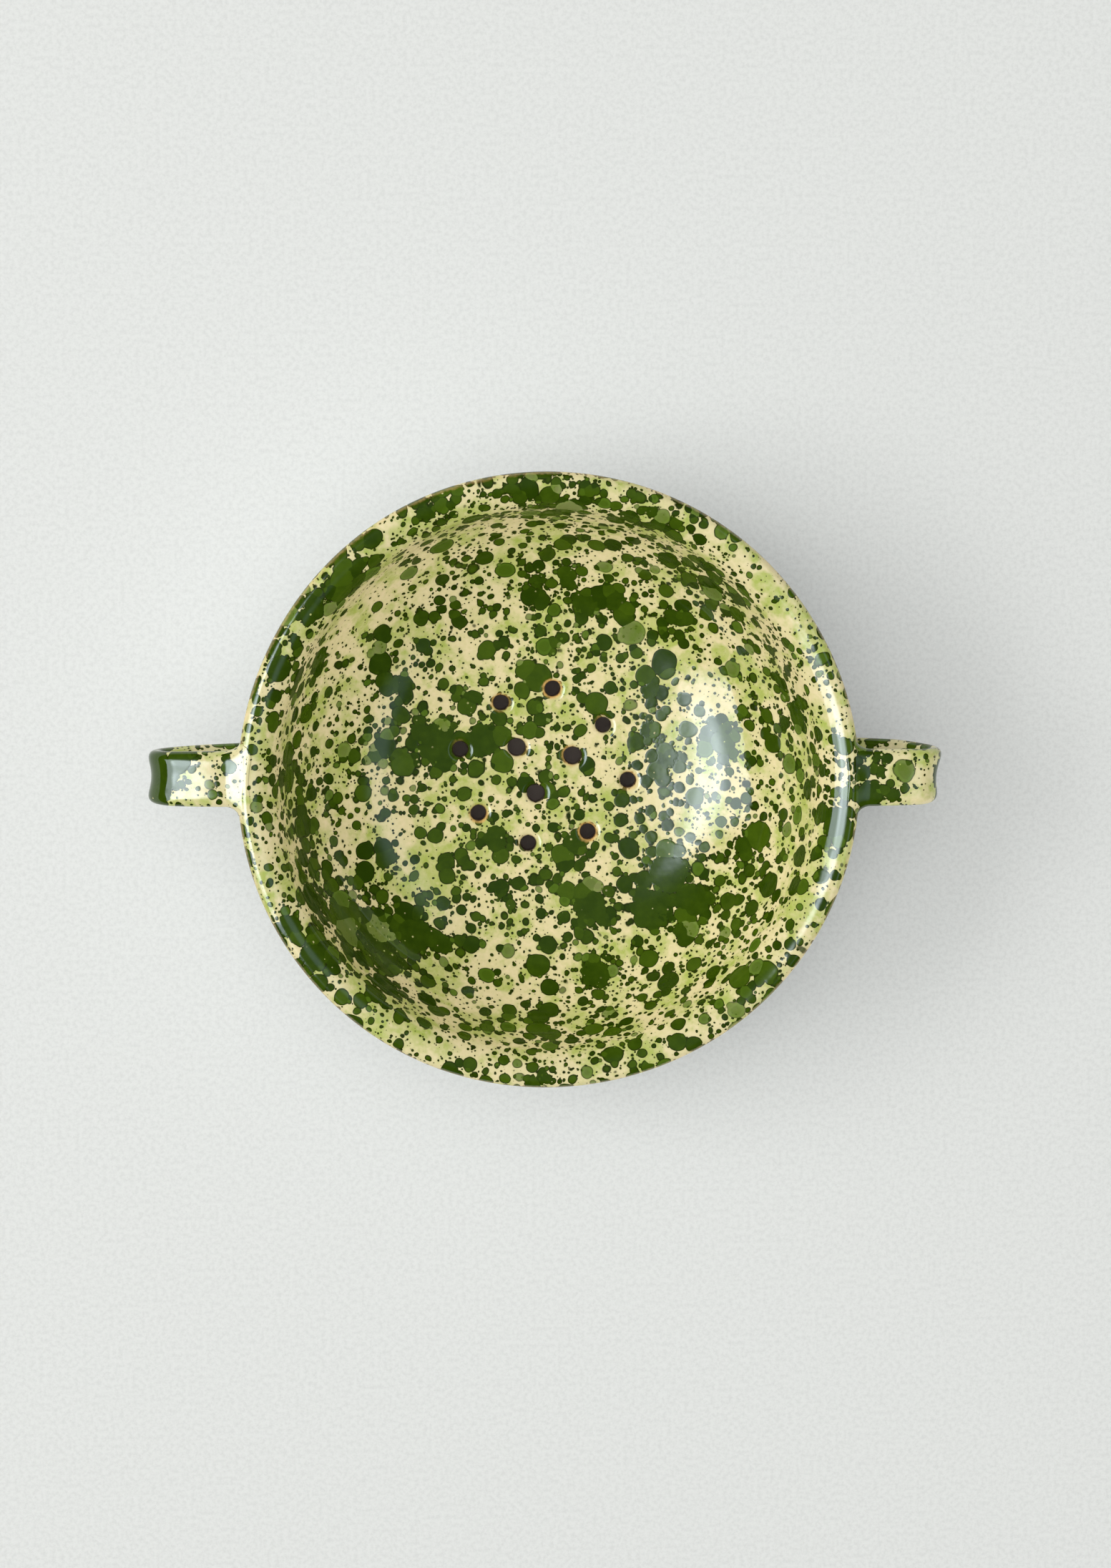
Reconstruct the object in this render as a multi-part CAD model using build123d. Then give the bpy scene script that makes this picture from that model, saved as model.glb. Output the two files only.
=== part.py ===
"""Berry colander bowl: a thrown bowl with punched drain holes, a luted foot ring and two pulled strap handles.

Frame: millimetres, +Z up, origin on the table at the centre of the foot ring, handles along X.
"""

import os
from math import copysign, cos, radians, sin, tan

from build123d import *

# Bowl
RIM_DIAMETER = 190.0
HEIGHT = 58.0
WALL = 5.5
FLOOR_THICKNESS = 6.0
WALL_SLOPE = 72.0  # degrees from level, on the straight part of the wall
FLOOR_SLOPE = 8.0  # degrees from level, where the dished floor turns into the belly
BELLY_INSIDE_RADIUS = 40.0
BELLY_OUTSIDE_RADIUS = 45.0
LIP_UNDER_RADIUS = 4.0  # the hollow under the turned-out lip

# Drain holes: an outer ring and an inner ring, punched by hand
OUTER_RING_RADIUS = 25.3
OUTER_HOLE_DIAMETER = 4.7
OUTER_RING_START = -10.2  # degrees
INNER_RING_RADIUS = 9.8
INNER_HOLE_DIAMETER = 5.4
INNER_RING_START = 19.6  # degrees
HOLE_ROUNDING = 0.7
# How far each hole strays from the even ring: outwards in mm, and round the ring in degrees
OUTER_STRAY = [(2.1, 1.0), (-2.0, -0.4), (-0.3, 2.9), (-1.0, -2.1), (1.3, -2.2), (-0.3, 0.9), (-0.5, -0.2), (0, -0.2)]
INNER_STRAY = [(0.4, -0.2), (0.4, 3.2), (-1.0, -3.1)]

# Foot ring
FOOT_DIAMETER = 90.0
FOOT_WIDTH = 7.5
FOOT_HEIGHT = 7.0  # from the table to the middle of the bowl's underside
FOOT_ROUNDING = 1.0
FOOT_SEAM = 4.2  # how far the slip in the foot's outer corner runs onto foot and bowl

# Strap handles
HANDLE_REACH = 27.9  # from the rim out to the end of the loop
HANDLE_BELOW_RIM = 1.5  # from the rim's crest down to the strap's upper edge
HANDLE_DROP = 27.0  # from the rim's crest down to where the lower limb meets the wall
STRAP_WIDTH = 17.3
STRAP_THICKNESS = 5.0
STRAP_DISH = 0.9  # the thumb groove along the strap's outer face
STRAP_BELLY = 0.5  # how far the strap's inner face swells
END_BEND_RADIUS = 6.0
END_BEND_TURN = 142.0  # degrees, from the level upper limb round to the lower limb

# Slip joints, where each end of a strap spreads onto the bowl
UPPER_JOINT_LENGTH = 3.6  # from the rim's edge out to the strap
LOWER_JOINT_LENGTH = 9.0  # along the lower limb, from the wall to the strap
JOINT_SPREAD = 2.6  # on both sides and the inner face of the strap, at the bowl
JOINT_OUTER_SPREAD = 0.9  # on the strap's outer face, which stays under the rim's crest

LIP_RADIUS = LIP_UNDER_RADIUS + WALL
RIM_RADIUS = RIM_DIAMETER / 2
CREST_RADIUS = RIM_RADIUS - WALL / 2
FOOT_RADIUS = FOOT_DIAMETER / 2
FLOOR_Z = FOOT_HEIGHT + FLOOR_THICKNESS
SLOPE, LOW_SLOPE = radians(WALL_SLOPE), radians(FLOOR_SLOPE)


def around(centre, radius, degrees_from_level):
    """The point on a circle where its tangent has this slope, on the circle's lower right side."""
    angle = radians(degrees_from_level)
    return centre + Vector(sin(angle), -cos(angle)) * radius


def side_line(floor_z, belly_radius, top):
    """The dished floor, the belly and the straight wall, each tangent to the next, from the axis up to a point.

    The floor's radius and the wall's length are what closes the line on that point.
    """
    dish = tan(LOW_SLOPE / 2)
    run = top.X - belly_radius * (sin(SLOPE) - sin(LOW_SLOPE))
    rise = top.Y - floor_z - belly_radius * (cos(LOW_SLOPE) - cos(SLOPE))
    wall_length = (rise - run * dish) / (sin(SLOPE) - cos(SLOPE) * dish)
    floor_radius = run - wall_length * cos(SLOPE)
    floor_centre = Vector(0, floor_z + floor_radius / sin(LOW_SLOPE))
    floor_curve = floor_radius / sin(LOW_SLOPE)
    floor_end = around(floor_centre, floor_curve, FLOOR_SLOPE)
    belly_centre = floor_end + Vector(-sin(LOW_SLOPE), cos(LOW_SLOPE)) * belly_radius
    belly_end = around(belly_centre, belly_radius, WALL_SLOPE)
    floor_middle = around(floor_centre, floor_curve, FLOOR_SLOPE / 2)
    belly_middle = around(belly_centre, belly_radius, (FLOOR_SLOPE + WALL_SLOPE) / 2)
    return [
        ThreePointArc((0, floor_z), floor_middle, floor_end),
        ThreePointArc(floor_end, belly_middle, belly_end),
        Line(belly_end, top),
    ]


def lip_arc(radius):
    """One face of the turned-out lip, from the wall up and over to level."""
    centre = Vector(CREST_RADIUS, HEIGHT - LIP_RADIUS)
    across = [centre - Vector(sin(a), -cos(a)) * radius for a in (SLOPE, SLOPE / 2, 0)]
    return ThreePointArc(*across)


def turned(outline):
    """The solid that a closed outline makes when it is turned about Z."""
    return revolve(Plane.XZ * outline, Axis.Z)


inner_lip, outer_lip = lip_arc(LIP_RADIUS), lip_arc(LIP_UNDER_RADIUS)
inner_side = side_line(FLOOR_Z, BELLY_INSIDE_RADIUS, inner_lip @ 0)
outer_side = side_line(FOOT_HEIGHT, BELLY_OUTSIDE_RADIUS, outer_lip @ 0)
rim_edge = ThreePointArc(inner_lip @ 1, (RIM_RADIUS, HEIGHT - WALL / 2), outer_lip @ 1)


def filled_outline():
    """Half the bowl's outline as if it were filled to the brim: whatever is luted on ends at it."""
    closing = Polyline(inner_lip @ 1, (0, HEIGHT), (0, FOOT_HEIGHT))
    return make_face(Curve([*outer_side, outer_lip, rim_edge, closing]))


def shell_outline():
    """Half the outline of the thrown bowl itself, from the axis up the inside, over the rim and back underneath."""
    closing = Line((0, FOOT_HEIGHT), (0, FLOOR_Z))
    return make_face(Curve([*inner_side, inner_lip, rim_edge, outer_lip, *outer_side, closing]))


def ring_of_holes(radius, start, strays):
    """The places of one ring of holes, evenly spaced and then moved by each hole's stray."""
    step = 360 / len(strays)
    polar = [(radius + out, start + k * step + turn) for k, (out, turn) in enumerate(strays)]
    return [Vector(r * cos(radians(a)), r * sin(radians(a))) for r, a in polar]


def bowl_body():
    """The thrown bowl, with its drain holes punched straight down and their edges rounded by the glaze."""
    shell = turned(shell_outline())
    outer = ring_of_holes(OUTER_RING_RADIUS, OUTER_RING_START, OUTER_STRAY)
    inner = ring_of_holes(INNER_RING_RADIUS, INNER_RING_START, INNER_STRAY)
    holes = [(place, OUTER_HOLE_DIAMETER / 2) for place in outer]
    holes += [(place, INNER_HOLE_DIAMETER / 2) for place in inner]
    for place, radius in holes:
        shell -= Pos(place.X, place.Y, HEIGHT / 2) * Cylinder(radius, HEIGHT)

    def rings_a_hole(edge):
        middle = edge.center(CenterOf.BOUNDING_BOX)
        return any((Vector(middle.X, middle.Y) - place).length < radius / 2 for place, radius in holes)

    return fillet(shell.edges().filter_by(rings_a_hole), HOLE_ROUNDING)


def foot_outline(filled):
    """One side of the ring that the bowl stands on, cut to the bowl's underside and rounded at the table."""
    band = Rectangle(FOOT_WIDTH, HEIGHT / 2, align=(Align.MAX, Align.MIN))
    ring = Pos(FOOT_RADIUS, 0) * band - filled
    return fillet(ring.vertices().group_by(Axis.Y)[0], FOOT_ROUNDING)


def under_point(radius):
    """Where the bowl's underside is at this radius, on the side of the right handle."""
    upright = Line((radius, 0), (radius, HEIGHT))
    hits = [point for line in outer_side for point in line.edge().find_intersection_points(upright.edge())]
    return Vector(radius, min(point.Y for point in hits))


def seam_outline(filled):
    """The slip smoothed into the outer corner between foot and bowl, as a sloped band that fills the corner."""
    corner, on_bowl = under_point(FOOT_RADIUS), under_point(FOOT_RADIUS + FOOT_SEAM)
    on_foot = corner - Vector(0, FOOT_SEAM)
    return make_face(Polyline(on_foot, on_bowl, corner, close=True)) - filled


def strap_section(outer_spread=0.0, side_spread=0.0):
    """A strap's outline: hollowed outer face above, swollen inner face below and rounded edges.

    The spreads widen it on its outer face, and on its sides and inner face.
    """
    half, top = STRAP_WIDTH / 2 + side_spread, STRAP_THICKNESS / 2 + outer_spread
    shoulder, bottom = half - STRAP_THICKNESS / 2, -STRAP_THICKNESS / 2 - side_spread
    under_edge = bottom + STRAP_BELLY
    edge_middle = (top + under_edge) / 2
    outline = [
        ThreePointArc((-shoulder, top), (0, top - STRAP_DISH), (shoulder, top)),
        ThreePointArc((shoulder, top), (half, edge_middle), (shoulder, under_edge)),
        ThreePointArc((shoulder, under_edge), (0, bottom), (-shoulder, under_edge)),
        ThreePointArc((-shoulder, under_edge), (-half, edge_middle), (-shoulder, top)),
    ]
    return make_face(Curve(outline))


def across_strap(point, along):
    """The plane square to the strap at a point, with the strap's width along Y."""
    return Plane(origin=point, x_dir=(0, 1, 0), z_dir=along)


def wall_point(height):
    """Where the bowl's outside is at this height, on the side of the right handle."""
    level = Line((0, height), (RIM_DIAMETER, height))
    hits = [point for line in outer_side for point in line.edge().find_intersection_points(level.edge())]
    return Vector(max(point.X for point in hits), height)


def strap_path():
    """The middle line of the right handle's strap, from its upper joint round the loop to its lower joint.

    A level limb runs into the end bend, and from there one arc sags down to the wall.
    """
    level = HEIGHT - HANDLE_BELOW_RIM - STRAP_THICKNESS / 2
    end = RIM_RADIUS + HANDLE_REACH - STRAP_THICKNESS / 2
    bend_centre = Vector(end - END_BEND_RADIUS, level - END_BEND_RADIUS)
    turns = [radians(END_BEND_TURN) * share for share in (0, 0.5, 1)]
    bend = ThreePointArc(*[bend_centre + Vector(sin(a), cos(a)) * END_BEND_RADIUS for a in turns])
    upper_limb = Line((RIM_RADIUS + UPPER_JOINT_LENGTH, level), bend @ 0)
    lower_limb = TangentArc(bend @ 1, wall_point(HEIGHT - HANDLE_DROP), tangent=bend % 1)
    lower_limb = lower_limb.edge().trim(0, 1 - LOWER_JOINT_LENGTH / lower_limb.length)
    return Plane.XZ * Wire([upper_limb.edge(), bend.edge(), lower_limb])


def slip_joint(across, length, form):
    """The spread end of a strap: its section widens in a hollow curve as it runs to the bowl, and ends at it.

    The length is signed: it runs along the plane's normal, or against it.
    """
    sections = []
    for share in (0.0, 0.35, 0.7, 1.0):
        growth = share * share
        section = strap_section(JOINT_OUTER_SPREAD * growth, JOINT_SPREAD * growth)
        sections.append(across.offset(length * share) * section)
    buried_end = extrude(sections[-1], copysign(LIP_RADIUS + WALL, length), dir=across.z_dir)
    spread_end = loft(sections) + buried_end - form
    return max(spread_end.solids(), key=lambda solid: solid.volume)


def right_handle_pieces(form):
    """The right handle's strap and its two slip joints."""
    path = strap_path()
    upper, lower = across_strap(path @ 0, path % 0), across_strap(path @ 1, path % 1)
    return {
        "handle": sweep(upper * strap_section(), path),
        "upper_slip_joint": slip_joint(upper, -UPPER_JOINT_LENGTH, form),
        "lower_slip_joint": slip_joint(lower, LOWER_JOINT_LENGTH, form),
    }


def main():
    """Builds every piece and writes one STEP file for each."""
    filled = filled_outline()
    foot = foot_outline(filled)
    pieces = {
        "bowl_body": bowl_body(),
        "foot_ring": turned(foot),
        "foot_slip_seam": turned(seam_outline(filled)),
    }
    for name, piece in right_handle_pieces(turned(filled)).items():
        pieces[f"right_{name}"] = piece
        pieces[f"left_{name}"] = mirror(piece, about=Plane.YZ)
    os.makedirs("parts", exist_ok=True)
    for name, piece in pieces.items():
        export_step(piece, f"parts/{name}.step")


main()
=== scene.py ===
"""Berry colander bowl: splattered glaze, strap handles and clay foot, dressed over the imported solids.

Everything is in metres in the frame of the solids: Z up, the table at 0, the handles along X.
"""

import math
from types import SimpleNamespace

import bmesh
import bpy
import numpy as np
from mathutils import Matrix, Vector
from mathutils.geometry import delaunay_2d_cdt


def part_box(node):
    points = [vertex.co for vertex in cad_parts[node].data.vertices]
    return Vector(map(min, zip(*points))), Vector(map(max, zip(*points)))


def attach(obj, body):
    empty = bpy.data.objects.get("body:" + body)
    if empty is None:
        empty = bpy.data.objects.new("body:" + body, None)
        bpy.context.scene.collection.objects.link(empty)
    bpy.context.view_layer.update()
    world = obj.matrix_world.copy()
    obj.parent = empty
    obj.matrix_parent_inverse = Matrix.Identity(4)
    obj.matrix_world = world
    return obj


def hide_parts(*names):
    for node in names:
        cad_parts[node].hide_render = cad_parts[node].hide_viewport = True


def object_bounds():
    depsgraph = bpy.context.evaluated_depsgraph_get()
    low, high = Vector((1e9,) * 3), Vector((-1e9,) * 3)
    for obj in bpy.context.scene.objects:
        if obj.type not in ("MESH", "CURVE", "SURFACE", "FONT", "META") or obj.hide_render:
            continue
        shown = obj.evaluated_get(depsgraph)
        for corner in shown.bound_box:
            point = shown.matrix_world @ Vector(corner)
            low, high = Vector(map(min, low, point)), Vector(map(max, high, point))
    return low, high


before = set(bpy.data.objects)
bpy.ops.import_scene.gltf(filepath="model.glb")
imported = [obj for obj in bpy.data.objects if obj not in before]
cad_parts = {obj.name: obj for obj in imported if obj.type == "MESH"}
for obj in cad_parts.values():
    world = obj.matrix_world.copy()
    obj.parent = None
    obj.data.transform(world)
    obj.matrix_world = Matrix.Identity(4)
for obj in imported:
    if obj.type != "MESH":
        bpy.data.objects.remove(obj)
CAD_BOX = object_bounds()
BOWL_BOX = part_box("bowl_body")

bl_info = {
    "name": "Berry colander bowl",
    "version": (1, 0, 0),
    "blender": (4, 5, 0),
    "location": "3D View > Sidebar > Berry bowl",
    "description": "A thrown colander bowl with splattered glaze, strap handles and a clay foot",
    "category": "Object",
}

MM = 0.001
QUARTER = math.pi / 2

# Rows and columns of the surfaces
AROUND = 288  # columns round the bowl
FOOT_AROUND = 216  # columns round the foot
HANDLE_AROUND = 56  # columns round a strap
HOLE_AROUND = 40  # columns round a drain hole
SKIN_ROWS = (84, 36, 9, 56)  # up the inside, over the lip, in the hollow under it and down the outside
STRAP_ROWS = 88  # along a strap
JOINT_ROWS = 17  # along a slip joint
HOLE_EDGE_ROWS = 10  # down the rounded edge of a drain hole
INNER_ROWS, EDGE_ROWS, UPRIGHT_ROWS, SEAM_ROWS = 12, 8, 10, 14  # of the foot's faces, edges and slip
PROFILE_POINTS = 240  # on each line and arc of the bowl's profile
LIMB_POINTS, BEND_POINTS, LOWER_POINTS = 30, 60, 120  # on the parts of a strap's middle line
OUTLINE_POINTS = 4001  # round a strap's outline, before they are spaced evenly
FLOOR_STEP = 1.3 * MM  # between the points of the floor round the drain holes
HOLE_CLEAR, EDGE_CLEAR = 0.55, 0.6  # how far those points keep from a hole and the patch's edge, in steps
MERGE_GAP = 1e-7  # points of the bowl nearer than this are one
SAME_POINT = 1e-8  # corners of the floor's triangles nearer than this are one

# How far each hole strays from its even ring: outwards in mm, and round the ring in degrees
OUTER_STRAY = (
    (2.1, 1.0), (-2.0, -0.4), (-0.3, 2.9), (-1.0, -2.1), (1.3, -2.2), (-0.3, 0.9), (-0.5, -0.2), (0, -0.2),
)
INNER_STRAY = ((0.4, -0.2), (0.4, 3.2), (-1.0, -3.1))
HOLE_OVAL, HOLE_CORNERS = 0.035, 0.025  # how far a hole is pushed out of round, as shares of its radius
FLOOR_MARGIN = 1.4 * MM  # from the rounded edge of the outermost hole to where the turned skin starts

# Unevenness of the thrown skin
UNEVEN_HEIGHTS = (17 * MM, 40 * MM)  # heights at which it starts and is whole
RIDGE_DEPTHS = (3 * MM, 12 * MM)  # depths under the crest at which the throwing ridges start and are whole
SLOW_WAVE = 0.09 * MM  # half of the depth of the slow waves
RIM_DIP = 0.12 * MM  # half of the dip of the crest
LOBES = ((3, 0.89, 1.0), (2, 1.12, 1.0), (5, 2.0, 0.2))  # waves round the rim: count, phase and share
LOBE_INSET = 0.4  # what is taken off the sum of those waves

# How each strap strays from the even one: its side along X, its width as a share, its shift along Y, the skew
# of its lower limb, the lean that sets one ridge of its end back, and how far it falls short and droops
HANDS = {
    "left": SimpleNamespace(
        side=-1, width=0.983, shift=1.75 * MM, skew=0.0, lean=-0.3 * MM, short=0.5 * MM, droop=2.4 * MM,
    ),
    "right": SimpleNamespace(
        side=1, width=1.02, shift=0.9 * MM, skew=1.1 * MM, lean=1.7 * MM, short=1.3 * MM, droop=0.6 * MM,
    ),
}
STRAP_POWER = 1 / 3  # of the cosine in a strap's outline: the smaller, the squarer the strap
LIMB_GROOVE, END_GROOVE = 0.45, 1.25  # shares of the thumb groove's depth on the limbs and at the loop's end
LOOP_END, LOOP_SPREAD = 0.42, 0.15  # the loop's end along the strap and how far round it tells, as shares
END_WAIST, WIDTH_WAVE = 0.03, 0.012  # how much narrower the loop's end is, and how much the width wavers
SKEW_SPAN = (0.3, 0.7)  # between which shares of its length a strap skews
EDGE_POWER = 14  # of the half-width, for the thin glaze along a strap's two edges

# Slip joints
LIP_OVER, LIP_UNDER = 5.2 * MM, 10.2 * MM  # how far an upper joint runs over and under the lip from its edge
LOWER_SPREAD = 1.3  # spread of a lower joint up and down the wall, as a share of that beside the strap
LOWER_PULL = 0.8  # reach of a lower joint's curve, as a share of the joint's length
LEAVE_PULL, ARRIVE_PULL = 1.5, 1.3  # pull of a joint's curve along the strap and along the skin
SKIN_AHEAD = 1.04  # how far out a joint's landing is looked at again, to find its direction
TUCK_SHARE, TUCK_DEPTH = 0.9, 1.2 * MM  # where a joint dives under the skin, and how deep
POLE_DEPTH = 1.6 * MM  # how deep a joint closes in its middle

# The foot and the slip above it
FOOT_INSET = 0.8 * MM  # how far the foot's inner face goes into the bowl
SEAM_RUN, SEAM_POWER = 0.94, 0.9  # how far out the slip runs, as a share of its height, and its curve's power
SEAM_TUCK, SEAM_DEPTH = 0.5, 0.9 * MM  # where the slip's back lies inside the bowl, and how deep

# What the vertices keep for the glaze
HOLE_TOP = 25 * MM  # height under which a place can lie at a drain hole
BURN_GAPS, BORE_SHADE_GAPS = (0.1 * MM, 1.9 * MM), (0.0, 0.45 * MM)  # gaps from a hole where its burn and the painted shade of its bore fade
LIP_IN, LIP_DOWN = 0.5 * MM, 1.6 * MM  # how far inside the rim and under the crest the glaze is thinnest
LIP_REACH = 1.4 * MM  # how far it is thin round there
STRAP_THIN = 0.75  # how thin the glaze is along a strap's edges, from 0 to 1
SKIN_DEPTH = 0.5 * MM  # how far under the inner skin a place still counts as inside
POOL_FAR = -12  # the least depth in a pool that is kept, in mm

# Where the largest pools of green lie inside the bowl, seen from above, and their radius, all in mm
BOWL_POOLS = (
    (-33, 8, 8), (-19, 8, 7), (-39, 11, 4.5), (14, 52, 6), (22, 53, 5.5), (-1, 59, 4), (7, 59, 4.5),
    (40, -34, 8), (36, -44, 7), (47, -42, 7.5), (31, -41, 5), (44, -51, 5), (15, -44, 6.5), (19, -48, 4),
    (10, -24, 6), (-15, -23, 5.5), (-56, -51, 7), (-41, -52, 7.5), (-49, -57, 5.5), (-32, -55, 4.5),
    (-79, -42, 5), (-72, -52, 6), (-73, 51, 4.5), (-77, 45, 3.5), (-2, -91, 4), (-37, 82, 4.5),
    (-30, 85, 3.5), (24, 81, 4.5), (31, 82, 3.5), (16, -65, 6.5), (-50, -28, 5), (-46, 27, 4), (-22, 22, 4),
    (34, 24, 4.5), (33, 11, 4), (39, 2, 5), (77, 20, 5), (63, -24, 5), (72, 30, 4), (-13, -39, 4),
    (40, 48, 4.5), (54, 13, 4.5),
)
# Where the drops fall thicker, or thinner where below 0: x, y, radius and growth of the largest drops, in mm
CROWDS = (
    (0, 91, 24, 1.3), (-37, 82, 14, 1.0), (35, 82, 14, 1.0), (50, 60, 20, 1.9), (-67, 65, 18, 1.9),
    (90, -4, 22, 1.0), (86, -36, 16, 0.3), (84, 38, 14, 0.9), (-62, -46, 24, 1.5), (0, -80, 24, 0.3),
    (-78, 0, 20, 0.6), (-46, 2, 20, 1.2), (0, 76, 16, 0.5), (67, 66, 10, -1.2), (-55, 56, 18, -1.8),
    (64, -67, 10, 0.5), (60, -30, 16, 0.5), (111, -3, 17, -2.6), (-72, -30, 16, 0.5),
)
# Pools on the straps: their place and radius in mm
STRAP_POOLS = (
    (-122, 2, 49, 12), (-108, 9, 54, 3.5), (-98, 9, 56, 3.5), (96, 9, 57, 3.5), (101, 8, 57, 3.8),
    (107, 9, 56, 2.8), (101, 3, 57, 3.2), (106, -4.5, 56, 3.4), (111.5, -2, 55, 2.8), (112, 4.5, 55, 2.6),
    (120.5, 2, 51, 5.2), (121, -5, 50, 4.8),
)

# Colours of the splatter, and what a throw of glaze drops is given: the drops' spacing in mm, their largest
# radius as a share of that, the share of points without a drop, the power of the chance that sets a radius,
# and an offset that makes the throw its own
GLAZE_INPUTS = ("Cream", "Pale", "Sheer", "Leaf", "Deep", "Edge", "Speck")
THROW_INPUTS = ("Spacing", "Largest", "Missing", "Power", "Throw")
# The throws of thick drops, from large to small, each with how much it grows in a crowd
DROP_THROWS = (
    ((10.0, 0.44, 0.40, 0.6, (31.0, 7.0, 11.0)), 1.0),
    ((6.4, 0.47, 0.25, 0.5, (5.0, 83.0, 41.0)), 0.8),
    ((4.4, 0.46, 0.20, 0.6, (71.0, 29.0, 3.0)), 0.6),
    ((3.0, 0.44, 0.25, 0.8, (13.0, 57.0, 97.0)), 0.4),
    ((2.1, 0.40, 0.25, 1.0, (43.0, 19.0, 61.0)), 0.2),
    ((1.3, 0.36, 0.25, 1.0, (89.0, 23.0, 47.0)), 0.1),
)
GHOST_THROW = (8.5, 0.44, 0.25, 1.0, (3.0, 39.0, 67.0))  # drops so thin that they only tint the ground
PIN_THROW = (2.2, 0.2, 0.1, 0.7, (17.0, 91.0, 37.0))  # pinholes in the pools

# Noises of the glaze, with lengths in mm: waves a mm, detail and, where it isn't a half, roughness
THICK_NOISE, LUMP_NOISE, RAG_NOISE = (0.03, 2.0), (0.16, 3.0, 0.65), (0.55, 2.0, 0.6)
MOTTLE_NOISE, CLOUD_NOISE, PIN_NOISE = (0.32, 4.0, 0.6), (0.085, 4.0, 0.6), (0.06, 2.0)
DROP_STRAYS = ((0.42, 0.45), (0.12, 2.0))  # what bends the drops: waves a mm, and how far it pushes them
THICK_GROWTH, LUMP_HEIGHT, RAG_HEIGHT = 3.0, 7.0, 2.0  # mm from least to most noise
POOL_SHRINK = 1.4  # mm that are taken off a pool before its lumps are added
POOL_TONE = 0.3  # tone of the pools
RUN_TOGETHER = 0.25  # mm over which drops run into one another

# Smooth steps of the glaze: from a value, to a value and, where they aren't 0 and 1, what they become.
# Heights are how deep a place lies in a drop, in mm, and tones are the drop's own chance from 0 to 1
POOL_SWELL = (-4.0, 0.5, 0.05, 0.8)  # growth of the drops, by depth in a pool
GHOST_EDGE, GHOST_TONE = (-0.7, 0.7), (0.0, 1.0, 0.15, 0.75)  # cover of a thin drop, by height and by tone
CLOUD_WASH, NEAR_WASH = (0.44, 0.66), (-1.8, 0.1, 0.0, 0.4)  # green wash in the clouds, and by height
MOTTLE_WASH = (0.25, 0.75, 0.55, 1.0)  # how the mottle thins the wash
SPECK_EDGE, SPECK_COVER = (-0.05, 0.06), 0.9  # cover of the finest drops, by height, and at most
TONE_SHARE, MOTTLE_SHARE, LEAF_BODY = 0.6, 0.5, (0.2, 0.9)  # what makes a drop lighter, and over which sums
SHEER_TONE, SHEER_CORE = (0.82, 0.98), (0.9, 1.3, 1.0, 0.45)  # which drops are sheer, and their thicker core
EDGE_LINE, DROP_EDGE = (0.02, 0.5), (-0.07, 0.09)  # the dark line inside a drop's edge, and the edge itself
SOLID_TONE = (0.92, 1.0, 1.0, 0.8)  # cover of a drop, by tone
PIN_PATCHES, PIN_POOLS = (0.44, 0.56), (-3.0, -1.0)  # where pinholes lie, by noise and by depth in a pool
PIN_EDGE, PIN_COVER = (0.0, 0.1), 0.85  # how bare a pinhole is, by height, and at most
RELIEF_HEIGHTS = (-0.4, 0.8)  # heights over which a drop rises from the ground

# Surfaces of the glaze, the clay and the table: noises in waves a metre, detail and roughness, and steps
GLAZE_GRAIN, BURN_PATCHES, GLAZE_RIPPLE = (900.0, 2.0), (60.0, 1.0), (150.0, 2.0)
PATCHY_BURN, BURN_SUM = (0.42, 0.62), (0.75, 1.7)  # where the burn lies, and how it fades from a hole
WORN_SUM, WORN_COVER = (1.0, 1.7), 0.3  # how the glaze wears over an edge, and at most
BOUNCED, MIRRORED = 0.95, 0.65  # how far the bounce colour and the dark edge colour replace the glaze's own
GLAZE_GLOSS = (0.3, 0.7, 0.05, 0.085)  # roughness, by the grain
GLAZE_IOR = 1.52
DROP_RELIEF, GLAZE_RELIEF = 0.35, 0.05 * MM  # relief of the drops as a share, and of the whole
CLAY_GRAIN, CLAY_BLOTCHES, LINE_NOISE = (1500.0, 4.0, 0.7), (90.0, 3.0), (60.0, 2.0)
GROG, BLOTCHED = (0.55, 0.75), (0.3, 0.8, 0.0, 0.35)  # dark specks by the grain, and brown by the blotches
LINE_WAVER, LINE_HEIGHTS = -3 * MM, (0.9 * MM, 1.3 * MM)  # the line where the glaze ends: waver and height
CLAY_ROUGHNESS, FOOT_GLOSS, CLAY_RELIEF = 0.85, 0.07, 0.12 * MM
TABLE_TOOTH, TOOTH_LIGHT, TOOTH_SHADE = (700.0, 4.0, 0.7), (0.3, 0.62), 0.90  # the table's tooth and shade
TABLE_ROUGHNESS, TOOTH_STRENGTH, TOOTH_RELIEF = 0.9, 0.4, 0.2 * MM
UNDER_BOWL_SHADE_EDGE, UNDER_BOWL_SHADE_TINT = (28 * MM, 36 * MM), (0.46, 0.37, 0.33)  # where the painted shade on the table under the bowl ends, and its tint

# Light from all round: where it peaks, and how sharply
ZENITH, ZENITH_POWER = (-0.12, 0.12, 0.985), 8.0
LEFT, LEFT_POWER = (-1, 0, 0), 2.0
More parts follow.
